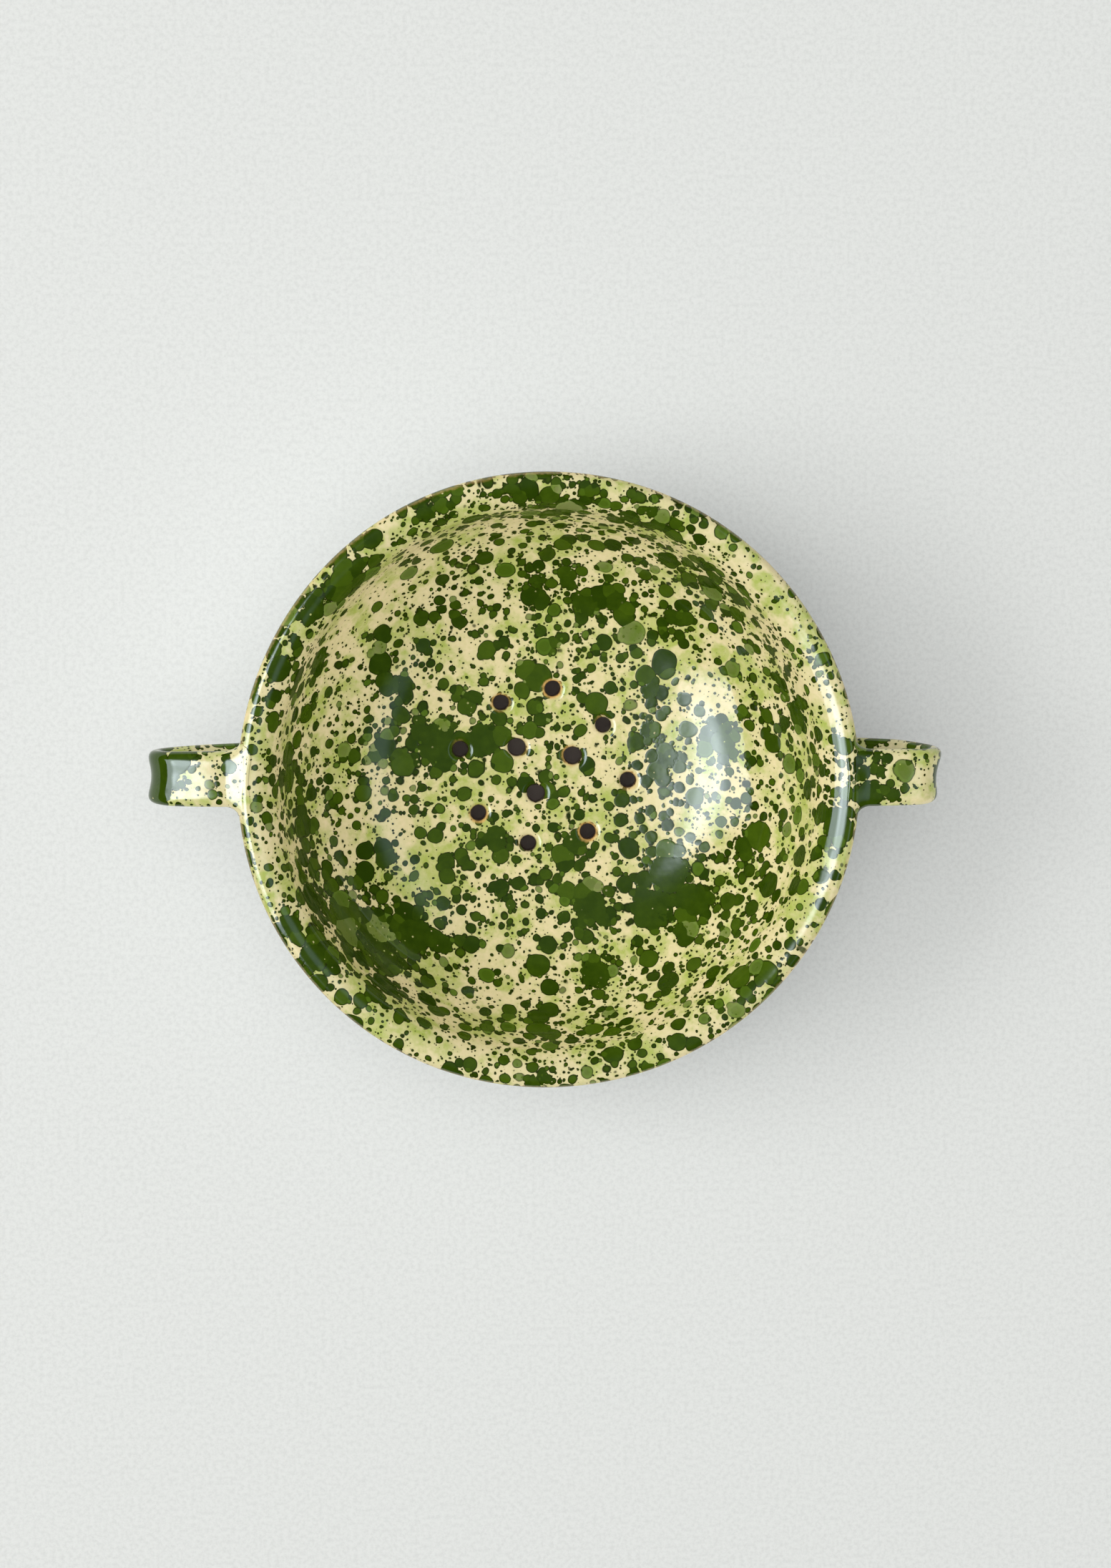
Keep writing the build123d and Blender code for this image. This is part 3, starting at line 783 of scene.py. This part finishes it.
def handle_parts(bowl, handles, profile, hand):
    """One strap handle: upper joint, strap and lower joint as one closed skin, mirrored for the left side.

    Returns it with how near each point lies to the strap's two edges, from 0 to 1.
    """
    line, heading, share = strap_path(bowl, handles, profile, hand)
    strap = strap_rows(handles, hand, line, heading, share)
    u, n = strap_outline(handles, LIMB_GROOVE)
    rise = n / (handles.strap / 2)
    half = handles.strap_width / 2 * hand.width + handles.spread
    upper_s = profile.edge - np.where(rise > 0, LIP_OVER, LIP_UNDER) * rise
    upper_y = hand.shift + half * u
    into_rim = -np.array([heading[0, 0], 0, heading[0, 1]])
    upper, upper_pole = joint_rows(bowl, profile, strap[0], into_rim, upper_s, upper_y, handles.upper_joint)
    outside = profile.s > profile.outside
    wall_s = np.interp(handles.drop - bowl.height, -profile.z[outside], profile.s[outside])
    lower_s = wall_s + (handles.strap / 2 + LOWER_SPREAD * handles.spread) * rise
    lower_y = hand.shift + hand.skew + half * u
    into_wall = np.array([heading[-1, 0], 0, heading[-1, 1]])
    pull = LOWER_PULL * handles.lower_joint
    lower, lower_pole = joint_rows(bowl, profile, strap[-1], into_wall, lower_s, lower_y, pull)
    rows = np.concatenate([upper[::-1], strap, lower])
    count = len(rows)
    points = np.concatenate([rows.reshape(-1, 3), [upper_pole, lower_pole]]) * np.array([hand.side, 1, 1])
    column = np.arange(HANDLE_AROUND)
    following = (column + 1) % HANDLE_AROUND
    first, last, base = count * HANDLE_AROUND, count * HANDLE_AROUND + 1, (count - 1) * HANDLE_AROUND
    caps = np.concatenate([
        np.stack([np.full_like(column, first), following, column], axis=1),
        np.stack([np.full_like(column, last), base + column, base + following], axis=1),
    ])
    edges = np.abs(u)[None, :] ** EDGE_POWER * np.ones((count, 1))
    edges[:len(upper)] *= np.linspace(0, 1, len(upper))[:, None]
    edges[-len(lower):] *= np.linspace(1, 0, len(lower))[:, None]
    return [(points, [grid_faces(count, HANDLE_AROUND), caps])], np.append(edges.ravel(), [0, 0])


def foot_parts(foot, profile):
    """The foot ring and the slip above it: a closed outline turned about Z.

    Up the inside, it goes into the bowl's underside. At the table its edges are quarter circles, and outside
    the slip leaves the foot upright and curves out to the underside: with v up to a quarter turn, it has gone
    out by 1 - cos v of its way and up by sin v to a power.
    """
    outside = profile.s > profile.outside
    r_of, z_of = profile.r[outside][::-1], profile.z[outside][::-1]

    def underside(r):
        """Height of the bowl's outside at a radius."""
        return np.interp(r, r_of, z_of)

    outer, inner, rounding = foot.diameter / 2, foot.diameter / 2 - foot.width, foot.rounding
    inside = np.linspace([inner, underside(inner) + FOOT_INSET], [inner, rounding], INNER_ROWS)
    inner_edge = arc((inner + rounding, rounding), rounding, 2 * QUARTER, 3 * QUARTER, EDGE_ROWS)
    sole = np.linspace([inner + rounding, 0], [outer - rounding, 0], EDGE_ROWS)
    outer_edge = arc((outer - rounding, rounding), rounding, -QUARTER, 0, EDGE_ROWS)
    high = underside(outer) - foot.seam
    upright = np.linspace([outer, rounding], [outer, high], UPRIGHT_ROWS)
    bend = np.linspace(0, QUARTER, SEAM_ROWS)
    seam_r = outer + foot.seam * SEAM_RUN * (1 - np.cos(bend))
    seam_z = high + (underside(outer + foot.seam * SEAM_RUN) - high) * np.sin(bend) ** SEAM_POWER
    seam = np.stack([seam_r, seam_z], axis=1)
    tuck_r = outer + SEAM_TUCK * foot.seam
    tuck = np.array([[tuck_r, underside(tuck_r) + SEAM_DEPTH]])
    line = np.concatenate([inside, inner_edge[1:], sole[1:], outer_edge[1:], upright[1:], seam[1:], tuck])
    theta = np.linspace(0, 2 * np.pi, FOOT_AROUND, endpoint=False)
    r, z = line[:, :1], line[:, 1:] + 0 * theta[None, :]
    points = np.stack([r * np.cos(theta), r * np.sin(theta), z], axis=-1)
    closing = grid_faces(2, FOOT_AROUND)
    closing = np.where(closing >= FOOT_AROUND, closing - FOOT_AROUND, closing + (len(line) - 1) * FOOT_AROUND)
    return [(points.reshape(-1, 3), [grid_faces(len(line), FOOT_AROUND), closing])]


class Wiring:
    """Adds nodes to a node tree. A value that is a socket is linked, and any other is set on the socket."""

    def __init__(self, tree):
        self.tree = tree

    def node(self, kind, values=(), **looks):
        """A node of this kind, with its properties set and its inputs fed."""
        made = self.tree.nodes.new(kind)
        for name, value in looks.items():
            setattr(made, name, value)
        for key, value in dict(values).items():
            self.feed(made.inputs[key], value)
        return made

    def feed(self, socket, value):
        """Links a socket to another, or sets its value."""
        if isinstance(value, bpy.types.NodeSocket):
            self.tree.links.new(value, socket)
        else:
            socket.default_value = value

    def math(self, operation, *values):
        """A number made of others."""
        return self.node("ShaderNodeMath", enumerate(values), operation=operation).outputs[0]

    def plus(self, first, second):
        """A sum."""
        return self.math("ADD", first, second)

    def minus(self, first, second):
        """A difference."""
        return self.math("SUBTRACT", first, second)

    def times(self, first, second):
        """A product."""
        return self.math("MULTIPLY", first, second)

    def times_plus(self, first, second, third):
        """The product of the first two, plus the third."""
        return self.math("MULTIPLY_ADD", first, second, third)

    def vector(self, operation, **values):
        """A vector made of a, b and a scale, or of those of them that the operation takes."""
        places = {"a": 0, "b": 1, "scale": 3}
        fed = {places[key]: value for key, value in values.items()}
        return self.node("ShaderNodeVectorMath", fed, operation=operation).outputs[0]

    def step(self, value, low, high, to_low=0.0, to_high=1.0):
        """A smooth step from to_low, where the value is low, to to_high, where it is high."""
        fed = enumerate((value, low, high, to_low, to_high))
        return self.node("ShaderNodeMapRange", fed, interpolation_type="SMOOTHSTEP").outputs[0]

    def mix(self, share, first, second):
        """A colour between two."""
        return self.node("ShaderNodeMix", {0: share, 6: first, 7: second}, data_type="RGBA").outputs[2]

    def blend(self, share, first, second):
        """A number between two."""
        return self.node("ShaderNodeMix", {0: share, 2: first, 3: second}, data_type="FLOAT").outputs[0]

    def noise(self, place, scale, detail, roughness=0.5, output="Fac"):
        """Noise from 0 to 1, with about scale waves a unit of length."""
        fed = {"Vector": place, "Scale": scale, "Detail": detail, "Roughness": roughness}
        return self.node("ShaderNodeTexNoise", fed, noise_dimensions="3D").outputs[output]

    def kept(self, name):
        """The number that the vertices keep under a name."""
        return self.node("ShaderNodeAttribute", attribute_name=name).outputs["Fac"]

    def group(self, tree, values):
        """The outputs of a node group."""
        return self.node("ShaderNodeGroup", values, node_tree=tree).outputs

    def bump(self, height, distance, strength=1.0):
        """The normal of a surface with a fine relief."""
        fed = {"Strength": strength, "Distance": distance, "Height": height}
        return self.node("ShaderNodeBump", fed).outputs[0]


def rgba(values):
    """A colour with full cover."""
    return (*values, 1.0)


def new_group(name, inputs, outputs):
    """An empty shader node group with these sockets, each a name and a kind, and its two end nodes."""
    tree = bpy.data.node_groups.new(name, "ShaderNodeTree")
    for side, sockets in (("INPUT", inputs), ("OUTPUT", outputs)):
        for socket, kind in sockets:
            tree.interface.new_socket(name=socket, in_out=side, socket_type=f"NodeSocket{kind}")
    wiring = Wiring(tree)
    return wiring, wiring.node("NodeGroupInput").outputs, wiring.node("NodeGroupOutput").inputs


def drops_group():
    """One throw of glaze drops: balls round scattered points, cut by the surface into round dots.

    Height is how deep a place lies inside the deeper of its two nearest drops, in millimetres, and is below 0
    outside. A drop's radius is at most Largest times Spacing, times an even chance to the Power, and a share
    Missing of the points has none. Tone is the drop's own.
    """
    wiring, given, out = new_group(
        "glaze drops",
        [("Place", "Vector"), *((name, "Float") for name in THROW_INPUTS[:-1]), (THROW_INPUTS[-1], "Vector")],
        [("Height", "Float"), ("Tone", "Float")],
    )
    place = wiring.vector("ADD", a=given["Place"], b=given["Throw"])
    scale = wiring.math("DIVIDE", 1.0, given["Spacing"])
    present = wiring.minus(1.0, given["Missing"])
    heights, tones = [], []
    for feature in ("F1", "F2"):
        cells = wiring.node(
            "ShaderNodeTexVoronoi", {"Vector": place, "Scale": scale, "Randomness": 1.0},
            voronoi_dimensions="3D", feature=feature,
        )
        chance = wiring.node("ShaderNodeSeparateColor", {0: cells.outputs["Color"]}).outputs
        over = wiring.math("MAXIMUM", wiring.minus(chance[0], given["Missing"]), 0.0)
        share = wiring.math("POWER", wiring.math("DIVIDE", over, present), given["Power"])
        heights.append(wiring.minus(wiring.times(share, given["Largest"]), cells.outputs["Distance"]))
        tones.append(chance[1])
    second = wiring.math("GREATER_THAN", heights[1], heights[0])
    wiring.feed(out["Height"], wiring.times(wiring.math("MAXIMUM", *heights), given["Spacing"]))
    wiring.feed(out["Tone"], wiring.blend(second, *tones))
    return wiring.tree


def splatter_group(drops):
    """The splattered glaze over a place: its colour, and its relief from 0 on the ground to 1 on a drop.

    The drops of all throws and the pools run together into one height. The ground under them is cream, with a
    green wash in clouds, under thin drops and round thick ones, and with fine brown specks.
    """
    colours = [(name, "Color") for name in GLAZE_INPUTS]
    wiring, given, out = new_group(
        "splattered glaze",
        [("Place", "Vector"), ("Pool", "Float"), ("Crowd", "Float"), *colours],
        [("Color", "Color"), ("Relief", "Float")],
    )
    place = lumpy = wiring.vector("SCALE", a=given["Place"], scale=1 / MM)
    for waves, reach in DROP_STRAYS:
        drift = wiring.noise(place, waves, 1.0, output="Color")
        drift = wiring.vector("SUBTRACT", a=drift, b=(0.5, 0.5, 0.5))
        lumpy = wiring.vector("ADD", a=lumpy, b=wiring.vector("SCALE", a=drift, scale=reach))

    def throw(values, over=lumpy):
        """Height and tone of one throw of drops."""
        return wiring.group(drops, {"Place": over, **dict(zip(THROW_INPUTS, values))})

    def swing(noise):
        """Noise round 0."""
        return wiring.minus(wiring.noise(place, *noise), 0.5)

    swell = wiring.times_plus(swing(THICK_NOISE), THICK_GROWTH, given["Crowd"])
    swell = wiring.plus(swell, wiring.step(given["Pool"], *POOL_SWELL))
    rags = wiring.times_plus(swing(RAG_NOISE), RAG_HEIGHT, wiring.minus(given["Pool"], POOL_SHRINK))
    height = wiring.times_plus(swing(LUMP_NOISE), LUMP_HEIGHT, rags)
    tone = POOL_TONE
    for values, growth in DROP_THROWS:
        drop = throw(values)
        raised = wiring.plus(drop["Height"], wiring.times(swell, growth))
        tone = wiring.blend(wiring.math("GREATER_THAN", raised, height), tone, drop["Tone"])
        height = wiring.math("SMOOTH_MAX", height, raised, RUN_TOGETHER)

    mottle = wiring.noise(place, *MOTTLE_NOISE)
    ghost = throw(GHOST_THROW)
    thin = wiring.times(wiring.step(ghost["Height"], *GHOST_EDGE), wiring.step(ghost["Tone"], *GHOST_TONE))
    wash = wiring.math("MAXIMUM", thin, wiring.step(wiring.noise(lumpy, *CLOUD_NOISE), *CLOUD_WASH))
    wash = wiring.math("MINIMUM", wiring.plus(wash, wiring.step(height, *NEAR_WASH)), 1.0)
    wash = wiring.times(wash, wiring.step(mottle, *MOTTLE_WASH))
    ground = wiring.mix(wash, given["Cream"], given["Pale"])
    speck = wiring.times(wiring.step(drop["Height"], *SPECK_EDGE), SPECK_COVER)
    ground = wiring.mix(speck, ground, given["Speck"])

    body = wiring.plus(wiring.times(tone, TONE_SHARE), wiring.times(mottle, MOTTLE_SHARE))
    green = wiring.mix(wiring.step(body, *LEAF_BODY), given["Deep"], given["Leaf"])
    sheer = wiring.times(wiring.step(tone, *SHEER_TONE), wiring.step(height, *SHEER_CORE))
    green = wiring.mix(sheer, green, given["Sheer"])
    green = wiring.mix(wiring.step(height, *EDGE_LINE), given["Edge"], green)
    cover = wiring.times(wiring.step(height, *DROP_EDGE), wiring.step(tone, *SOLID_TONE))
    pinned = wiring.step(wiring.noise(place, *PIN_NOISE), *PIN_PATCHES)
    pinned = wiring.times(pinned, wiring.step(given["Pool"], *PIN_POOLS))
    bare = wiring.times(wiring.step(throw(PIN_THROW, place)["Height"], *PIN_EDGE), pinned)
    cover = wiring.times(cover, wiring.minus(1.0, wiring.times(bare, PIN_COVER)))
    wiring.feed(out["Color"], wiring.mix(cover, ground, green))
    wiring.feed(out["Relief"], wiring.step(height, *RELIEF_HEIGHTS))
    return wiring.tree


def new_material(name):
    """A material with its Principled shader, and the wiring for the rest."""
    material = bpy.data.materials.new(name)
    material.use_nodes = True
    shader = material.node_tree.nodes["Principled BSDF"]
    return material, Wiring(material.node_tree), shader.inputs


def splatter_nodes(wiring, splatter, glaze):
    """The splattered glaze on a piece's own coordinates, with the pools that its vertices keep."""
    place = wiring.node("ShaderNodeTexCoord").outputs["Object"]
    colours = {name: rgba(getattr(glaze, name.lower())) for name in GLAZE_INPUTS}
    kept = {"Pool": wiring.kept("pool"), "Crowd": wiring.kept("crowd")}
    return place, wiring.group(splatter, {"Place": place, **kept, **colours})


def glaze_material(splatter, glaze):
    """Glossy splattered glaze. It burns brown where it thins over an edge and round the drain holes.

    Soft light that it throws back takes a bounce colour, and what it mirrors of itself is darker than it is.
    """
    material, wiring, shader = new_material("splattered glaze")
    place, splattered = splatter_nodes(wiring, splatter, glaze)
    grain = wiring.noise(place, *GLAZE_GRAIN)
    patchy = wiring.step(wiring.noise(place, *BURN_PATCHES), *PATCHY_BURN)
    burn = wiring.times(wiring.step(wiring.plus(wiring.kept("hole_edge"), grain), *BURN_SUM), patchy)
    worn = wiring.times(wiring.step(wiring.plus(wiring.kept("thin_glaze"), grain), *WORN_SUM), WORN_COVER)
    tint = wiring.mix(wiring.math("MAXIMUM", burn, worn), splattered["Color"], rgba(glaze.burnt))
    path = wiring.node("ShaderNodeLightPath").outputs
    bounce = wiring.mix(wiring.kept("inside"), rgba(glaze.bounce_out), rgba(glaze.bounce_in))
    tint = wiring.mix(wiring.times(path["Is Diffuse Ray"], BOUNCED), tint, bounce)
    tint = wiring.mix(wiring.times(path["Is Glossy Ray"], MIRRORED), tint, rgba(glaze.edge))
    # The bores of the drain holes take a dark brown painted shade
    wiring.feed(shader["Base Color"], wiring.mix(wiring.kept("hole_bore_shade"), tint, rgba(glaze.bore)))
    wiring.feed(shader["Roughness"], wiring.step(grain, *GLAZE_GLOSS))
    wiring.feed(shader["IOR"], GLAZE_IOR)
    relief = wiring.plus(wiring.times(splattered["Relief"], DROP_RELIEF), wiring.noise(place, *GLAZE_RIPPLE))
    wiring.feed(shader["Normal"], wiring.bump(relief, GLAZE_RELIEF))
    return material


def foot_material(splatter, glaze):
    """Bare clay with grog at the table, and splattered glaze above an uneven line."""
    material, wiring, shader = new_material("clay foot")
    place, splattered = splatter_nodes(wiring, splatter, glaze)
    grain = wiring.noise(place, *CLAY_GRAIN)
    clay = wiring.mix(wiring.step(grain, *GROG), rgba(glaze.clay), rgba(glaze.clay_dark))
    blotch = wiring.step(wiring.noise(place, *CLAY_BLOTCHES), *BLOTCHED)
    clay = wiring.mix(blotch, clay, rgba(glaze.burnt))
    up = wiring.node("ShaderNodeSeparateXYZ", {0: place}).outputs[2]
    line = wiring.plus(up, wiring.times(wiring.noise(place, *LINE_NOISE), LINE_WAVER))
    glazed = wiring.step(line, *LINE_HEIGHTS)
    wiring.feed(shader["Base Color"], wiring.mix(glazed, clay, splattered["Color"]))
    wiring.feed(shader["Roughness"], wiring.blend(glazed, CLAY_ROUGHNESS, FOOT_GLOSS))
    wiring.feed(shader["Normal"], wiring.bump(wiring.times(grain, wiring.minus(1.0, glazed)), CLAY_RELIEF))
    return material


def floor_material(stage):
    """The pale table: matt, with a fine tooth, and a painted shade under the bowl, which the drain holes look
    onto.
    """
    material, wiring, shader = new_material("pale table")
    place = wiring.node("ShaderNodeTexCoord").outputs["Object"]
    tooth = wiring.noise(place, *TABLE_TOOTH)
    shade = tuple(value * TOOTH_SHADE for value in stage.floor)
    pale = wiring.mix(wiring.step(tooth, *TOOTH_LIGHT), rgba(shade), rgba(stage.floor))
    middle = wiring.node("ShaderNodeVectorMath", {0: place}, operation="LENGTH").outputs[1]
    # Painted shade: the table under the bowl is darkened, so that the drain holes look dark
    under_bowl_shade = tuple(value * share for value, share in zip(stage.floor, UNDER_BOWL_SHADE_TINT))
    wiring.feed(shader["Base Color"], wiring.mix(wiring.step(middle, *UNDER_BOWL_SHADE_EDGE), rgba(under_bowl_shade), pale))
    wiring.feed(shader["Roughness"], TABLE_ROUGHNESS)
    wiring.feed(shader["Normal"], wiring.bump(tooth, TOOTH_RELIEF, TOOTH_STRENGTH))
    return material


def shared_splatter():
    """The splatter group, built once."""
    return bpy.data.node_groups.get("splattered glaze") or splatter_group(drops_group())


def shared_glaze():
    """The glaze of the bowl and the handles, built once."""
    return bpy.data.materials.get("splattered glaze") or glaze_material(shared_splatter(), settings().glaze)


class BERRYBOWL_OT_bowl(bpy.types.Operator):
    """Makes the glazed bowl with its drain holes"""

    bl_idname = "berry_bowl.bowl"
    bl_label = "Make bowl"

    def execute(self, context):
        bowl, holes = settings().bowl, settings().holes
        parts, places = bowl_parts(bowl, holes)
        made = build_object("glazed_bowl", parts, shared_glaze(), merge=MERGE_GAP)
        x, y, z = vertex_places(made).T
        out = np.hypot(x, y)
        gap = np.hypot(x[:, None] - places[None, :, 0], y[:, None] - places[None, :, 1]) - places[:, 2]
        gap = np.where(z < HOLE_TOP, gap.min(axis=1), 1.0)
        paint(made, "hole_edge", 1 - ease(gap, *BURN_GAPS))
        # Where the bores of the drain holes take their painted shade
        paint(made, "hole_bore_shade", 1 - ease(gap, *BORE_SHADE_GAPS))
        off = np.hypot(out - bowl.rim / 2 + LIP_IN, z - bowl.height + LIP_DOWN)
        paint(made, "thin_glaze", np.exp(-(off / LIP_REACH) ** 2))
        profile = bowl_profile(bowl, holes)
        within = profile.s <= profile.crest
        skin = np.interp(out, profile.r[within], profile.z[within])
        paint(made, "inside", z > skin - SKIN_DEPTH)
        paint_pools(made, profile)
        dress(made, "splatter_glaze", "bowl_body")
        return {"FINISHED"}


class BERRYBOWL_OT_handles(bpy.types.Operator):
    """Makes the two strap handles with the joints that hold them"""

    bl_idname = "berry_bowl.handles"
    bl_label = "Make handles"

    def execute(self, context):
        bowl, handles = settings().bowl, settings().handles
        profile = bowl_profile(bowl, settings().holes)
        for name, hand in HANDS.items():
            parts, edges = handle_parts(bowl, handles, profile, hand)
            made = build_object(f"strap_handle_{name}", parts, shared_glaze())
            paint(made, "thin_glaze", STRAP_THIN * edges)
            paint_pools(made, profile)
            nodes = [f"{name}_{piece}" for piece in ("handle", "upper_slip_joint", "lower_slip_joint")]
            dress(made, "splatter_glaze", *nodes)
        return {"FINISHED"}


class BERRYBOWL_OT_foot(bpy.types.Operator):
    """Makes the clay foot ring and the slip above it"""

    bl_idname = "berry_bowl.foot"
    bl_label = "Make foot"

    def execute(self, context):
        foot = settings().foot
        profile = bowl_profile(settings().bowl, settings().holes)
        material = foot_material(shared_splatter(), settings().glaze)
        made = build_object("clay_foot", foot_parts(foot, profile), material)
        paint_pools(made, profile)
        dress(made, "bare_clay", "foot_ring", "foot_slip_seam")
        return {"FINISHED"}


def area_light(name, place, size, power, tint):
    """A rectangular lamp at a place, turned to face the bowl. It lights but isn't seen or mirrored itself."""
    lamp = bpy.data.lights.new(name, "AREA")
    lamp.shape, lamp.size, lamp.size_y, lamp.energy, lamp.color = "RECTANGLE", *size, power, tint
    made = bpy.data.objects.new(name, lamp)
    made.location = place
    made.rotation_euler = (Vector(LAMP_TARGET) - Vector(place)).to_track_quat("-Z", "Y").to_euler()
    made.visible_camera = made.visible_glossy = False
    bpy.context.scene.collection.objects.link(made)
    return made


def light_world(stage):
    """Light from all round, for a direction d: around + side max(-dx, 0)^2 + overhead max(d . zenith, 0)^8.

    The gloss mirrors a plain picture of a room instead, drawn over the level part of the direction: along is
    how far it points to the window's side, and across how far beside it. The camera sees the backdrop.
    """
    world = bpy.data.worlds.new("studio")
    bpy.context.scene.world = world
    world.use_nodes = True
    world.node_tree.nodes.clear()
    wiring = Wiring(world.node_tree)
    path = wiring.node("ShaderNodeLightPath").outputs
    direction = wiring.node("ShaderNodeTexCoord").outputs["Generated"]

    def towards(way):
        """How far the direction points a way."""
        return wiring.node("ShaderNodeVectorMath", {0: direction, 1: way}, operation="DOT_PRODUCT").outputs[1]

    def peak(way, power):
        """Light that peaks where the direction points a way."""
        return wiring.math("POWER", wiring.math("MAXIMUM", towards(way), 0.0), power)

    def oval(along, across, centre, half_along, half_across, soft):
        """A soft oval: 1 inside and 0 outside."""
        u = wiring.math("DIVIDE", wiring.minus(along, centre), half_along)
        v = wiring.math("DIVIDE", across, half_across)
        far = wiring.math("SQRT", wiring.plus(wiring.times(u, u), wiring.times(v, v)))
        return wiring.step(far, 1.0 - soft, 1.0 + soft, 1.0, 0.0)

    def shine(tint, strength):
        """A background of one colour."""
        return wiring.node("ShaderNodeBackground", {"Color": tint, "Strength": strength}).outputs[0]

    def both(first, second):
        """Two backgrounds added."""
        return wiring.node("ShaderNodeAddShader", {0: first, 1: second}).outputs[0]

    def choose(share, first, second):
        """One background, or where the share is 1 the other."""
        return wiring.node("ShaderNodeMixShader", {0: share, 1: first, 2: second}).outputs[0]

    level = wiring.times_plus(peak(LEFT, LEFT_POWER), stage.side, stage.around)
    light = shine(WHITE, wiring.times_plus(peak(ZENITH, ZENITH_POWER), stage.overhead, level))

    along, across, up = towards(WINDOW_SIDE), towards(WINDOW_BESIDE), towards((0, 0, 1))
    above = wiring.math("GREATER_THAN", up, 0.0)
    pane = wiring.times(wiring.step(along, *PANE_LOW), wiring.step(along, *PANE_HIGH))
    pane = wiring.times(pane, wiring.step(wiring.math("ABSOLUTE", across), *PANE_SIDES))
    lamp = wiring.times(oval(along, across, *LAMP_OVAL), stage.mirrored_lamp)
    bright = wiring.times_plus(pane, stage.mirrored_window, lamp)
    bright = wiring.times_plus(oval(along, across, *HAZE_OVAL), HAZE_SHARE * stage.mirrored_lamp, bright)
    sky = wiring.times(oval(towards((1, 0, 0)), towards((0, 1, 0)), *SKY_OVAL), above)
    ceiling = wiring.times(wiring.step(up, *CEILING_UP), wiring.step(towards((0, 1, 0)), *CEILING_BACK))
    room = shine(ROOM_BLUE, wiring.times_plus(ceiling, stage.mirrored_room, ROOM_LEAST))
    window = shine(COOL, wiring.times(bright, above))
    blue = shine(SKY_BLUE, wiring.times(sky, stage.mirrored_sky))
    mixed = choose(path["Is Glossy Ray"], light, both(both(window, blue), room))
    mixed = choose(path["Is Camera Ray"], mixed, shine(rgba(stage.backdrop), 1.0))
    wiring.node("ShaderNodeOutputWorld", {"Surface": mixed})


def place_camera(bowl, stage):
    """The camera nearly above the bowl, a little up and left of it, with +Y up in the picture."""
    target = Vector((*CAMERA_TARGET, bowl.height))
    back = Vector(CAMERA_WAY).normalized()
    camera = bpy.data.cameras.new("camera")
    camera.sensor_width, camera.lens = SENSOR, stage.lens
    made = bpy.data.objects.new("camera", camera)
    bpy.context.scene.collection.objects.link(made)
    place = target + back * stage.camera_distance
    right = Vector((0, 1, 0)).cross(back).normalized()
    up = back.cross(right)
    made.matrix_world = Matrix.Translation(place) @ Matrix((right, up, back)).transposed().to_4x4()
    bpy.context.scene.camera = made


class BERRYBOWL_OT_stage(bpy.types.Operator):
    """Makes the table, the light and the camera"""

    bl_idname = "berry_bowl.stage"
    bl_label = "Make stage"

    def execute(self, context):
        stage = settings().stage
        corners = np.array([[-1, -1, 0], [1, -1, 0], [1, 1, 0], [-1, 1, 0]]) * TABLE_HALF
        table = build_object("table", [(corners, [np.array([[0, 1, 2, 3]])])], floor_material(stage))
        area_light("window", WINDOW_PLACE, WINDOW_SIZE, stage.window, WINDOW_TINT)
        pieces = bpy.data.collections.new("glazed pieces")
        for name in ("glazed_bowl", "strap_handle_left", "strap_handle_right", "clay_foot"):
            pieces.objects.link(bpy.data.objects[name])
        for name, place, share in FILLS:
            fill = area_light(name, place, FILL_SIZE, share * stage.fill, FILL_TINT)
            fill.light_linking.receiver_collection = pieces
        light_world(stage)
        place_camera(settings().bowl, stage)
        context.scene.view_settings.view_transform = "Standard"
        return {"FINISHED"}


class BERRYBOWL_PT_panel(bpy.types.Panel):
    """Sizes, colours and makers of the berry bowl"""

    bl_label = "Berry bowl"
    bl_idname = "BERRYBOWL_PT_panel"
    bl_space_type = "VIEW_3D"
    bl_region_type = "UI"
    bl_category = "Berry bowl"

    def draw(self, context):
        for part in ("bowl", "holes", "handles", "foot", "glaze", "stage"):
            group = getattr(context.scene.berry_bowl, part)
            box = self.layout.box()
            box.label(text=part.capitalize())
            for name in group.__annotations__:
                box.prop(group, name)
        for maker in (BERRYBOWL_OT_bowl, BERRYBOWL_OT_handles, BERRYBOWL_OT_foot, BERRYBOWL_OT_stage):
            self.layout.operator(maker.bl_idname)


CLASSES = (
    BowlSizes, HoleSizes, HandleSizes, FootSizes, GlazeColours, StageSettings, BerryBowlSettings,
    BERRYBOWL_OT_bowl, BERRYBOWL_OT_handles, BERRYBOWL_OT_foot, BERRYBOWL_OT_stage, BERRYBOWL_PT_panel,
)


def register():
    """Adds the classes and the scene's settings."""
    for made in CLASSES:
        bpy.utils.register_class(made)
    bpy.types.Scene.berry_bowl = bpy.props.PointerProperty(type=BerryBowlSettings)


def unregister():
    """Takes the settings and the classes away again."""
    del bpy.types.Scene.berry_bowl
    for made in reversed(CLASSES):
        bpy.utils.unregister_class(made)


def main():
    """Makes every piece and the stage."""
    register()
    bpy.ops.berry_bowl.bowl()
    bpy.ops.berry_bowl.handles()
    bpy.ops.berry_bowl.foot()
    bpy.ops.berry_bowl.stage()


if __name__ == "__main__":
    main()
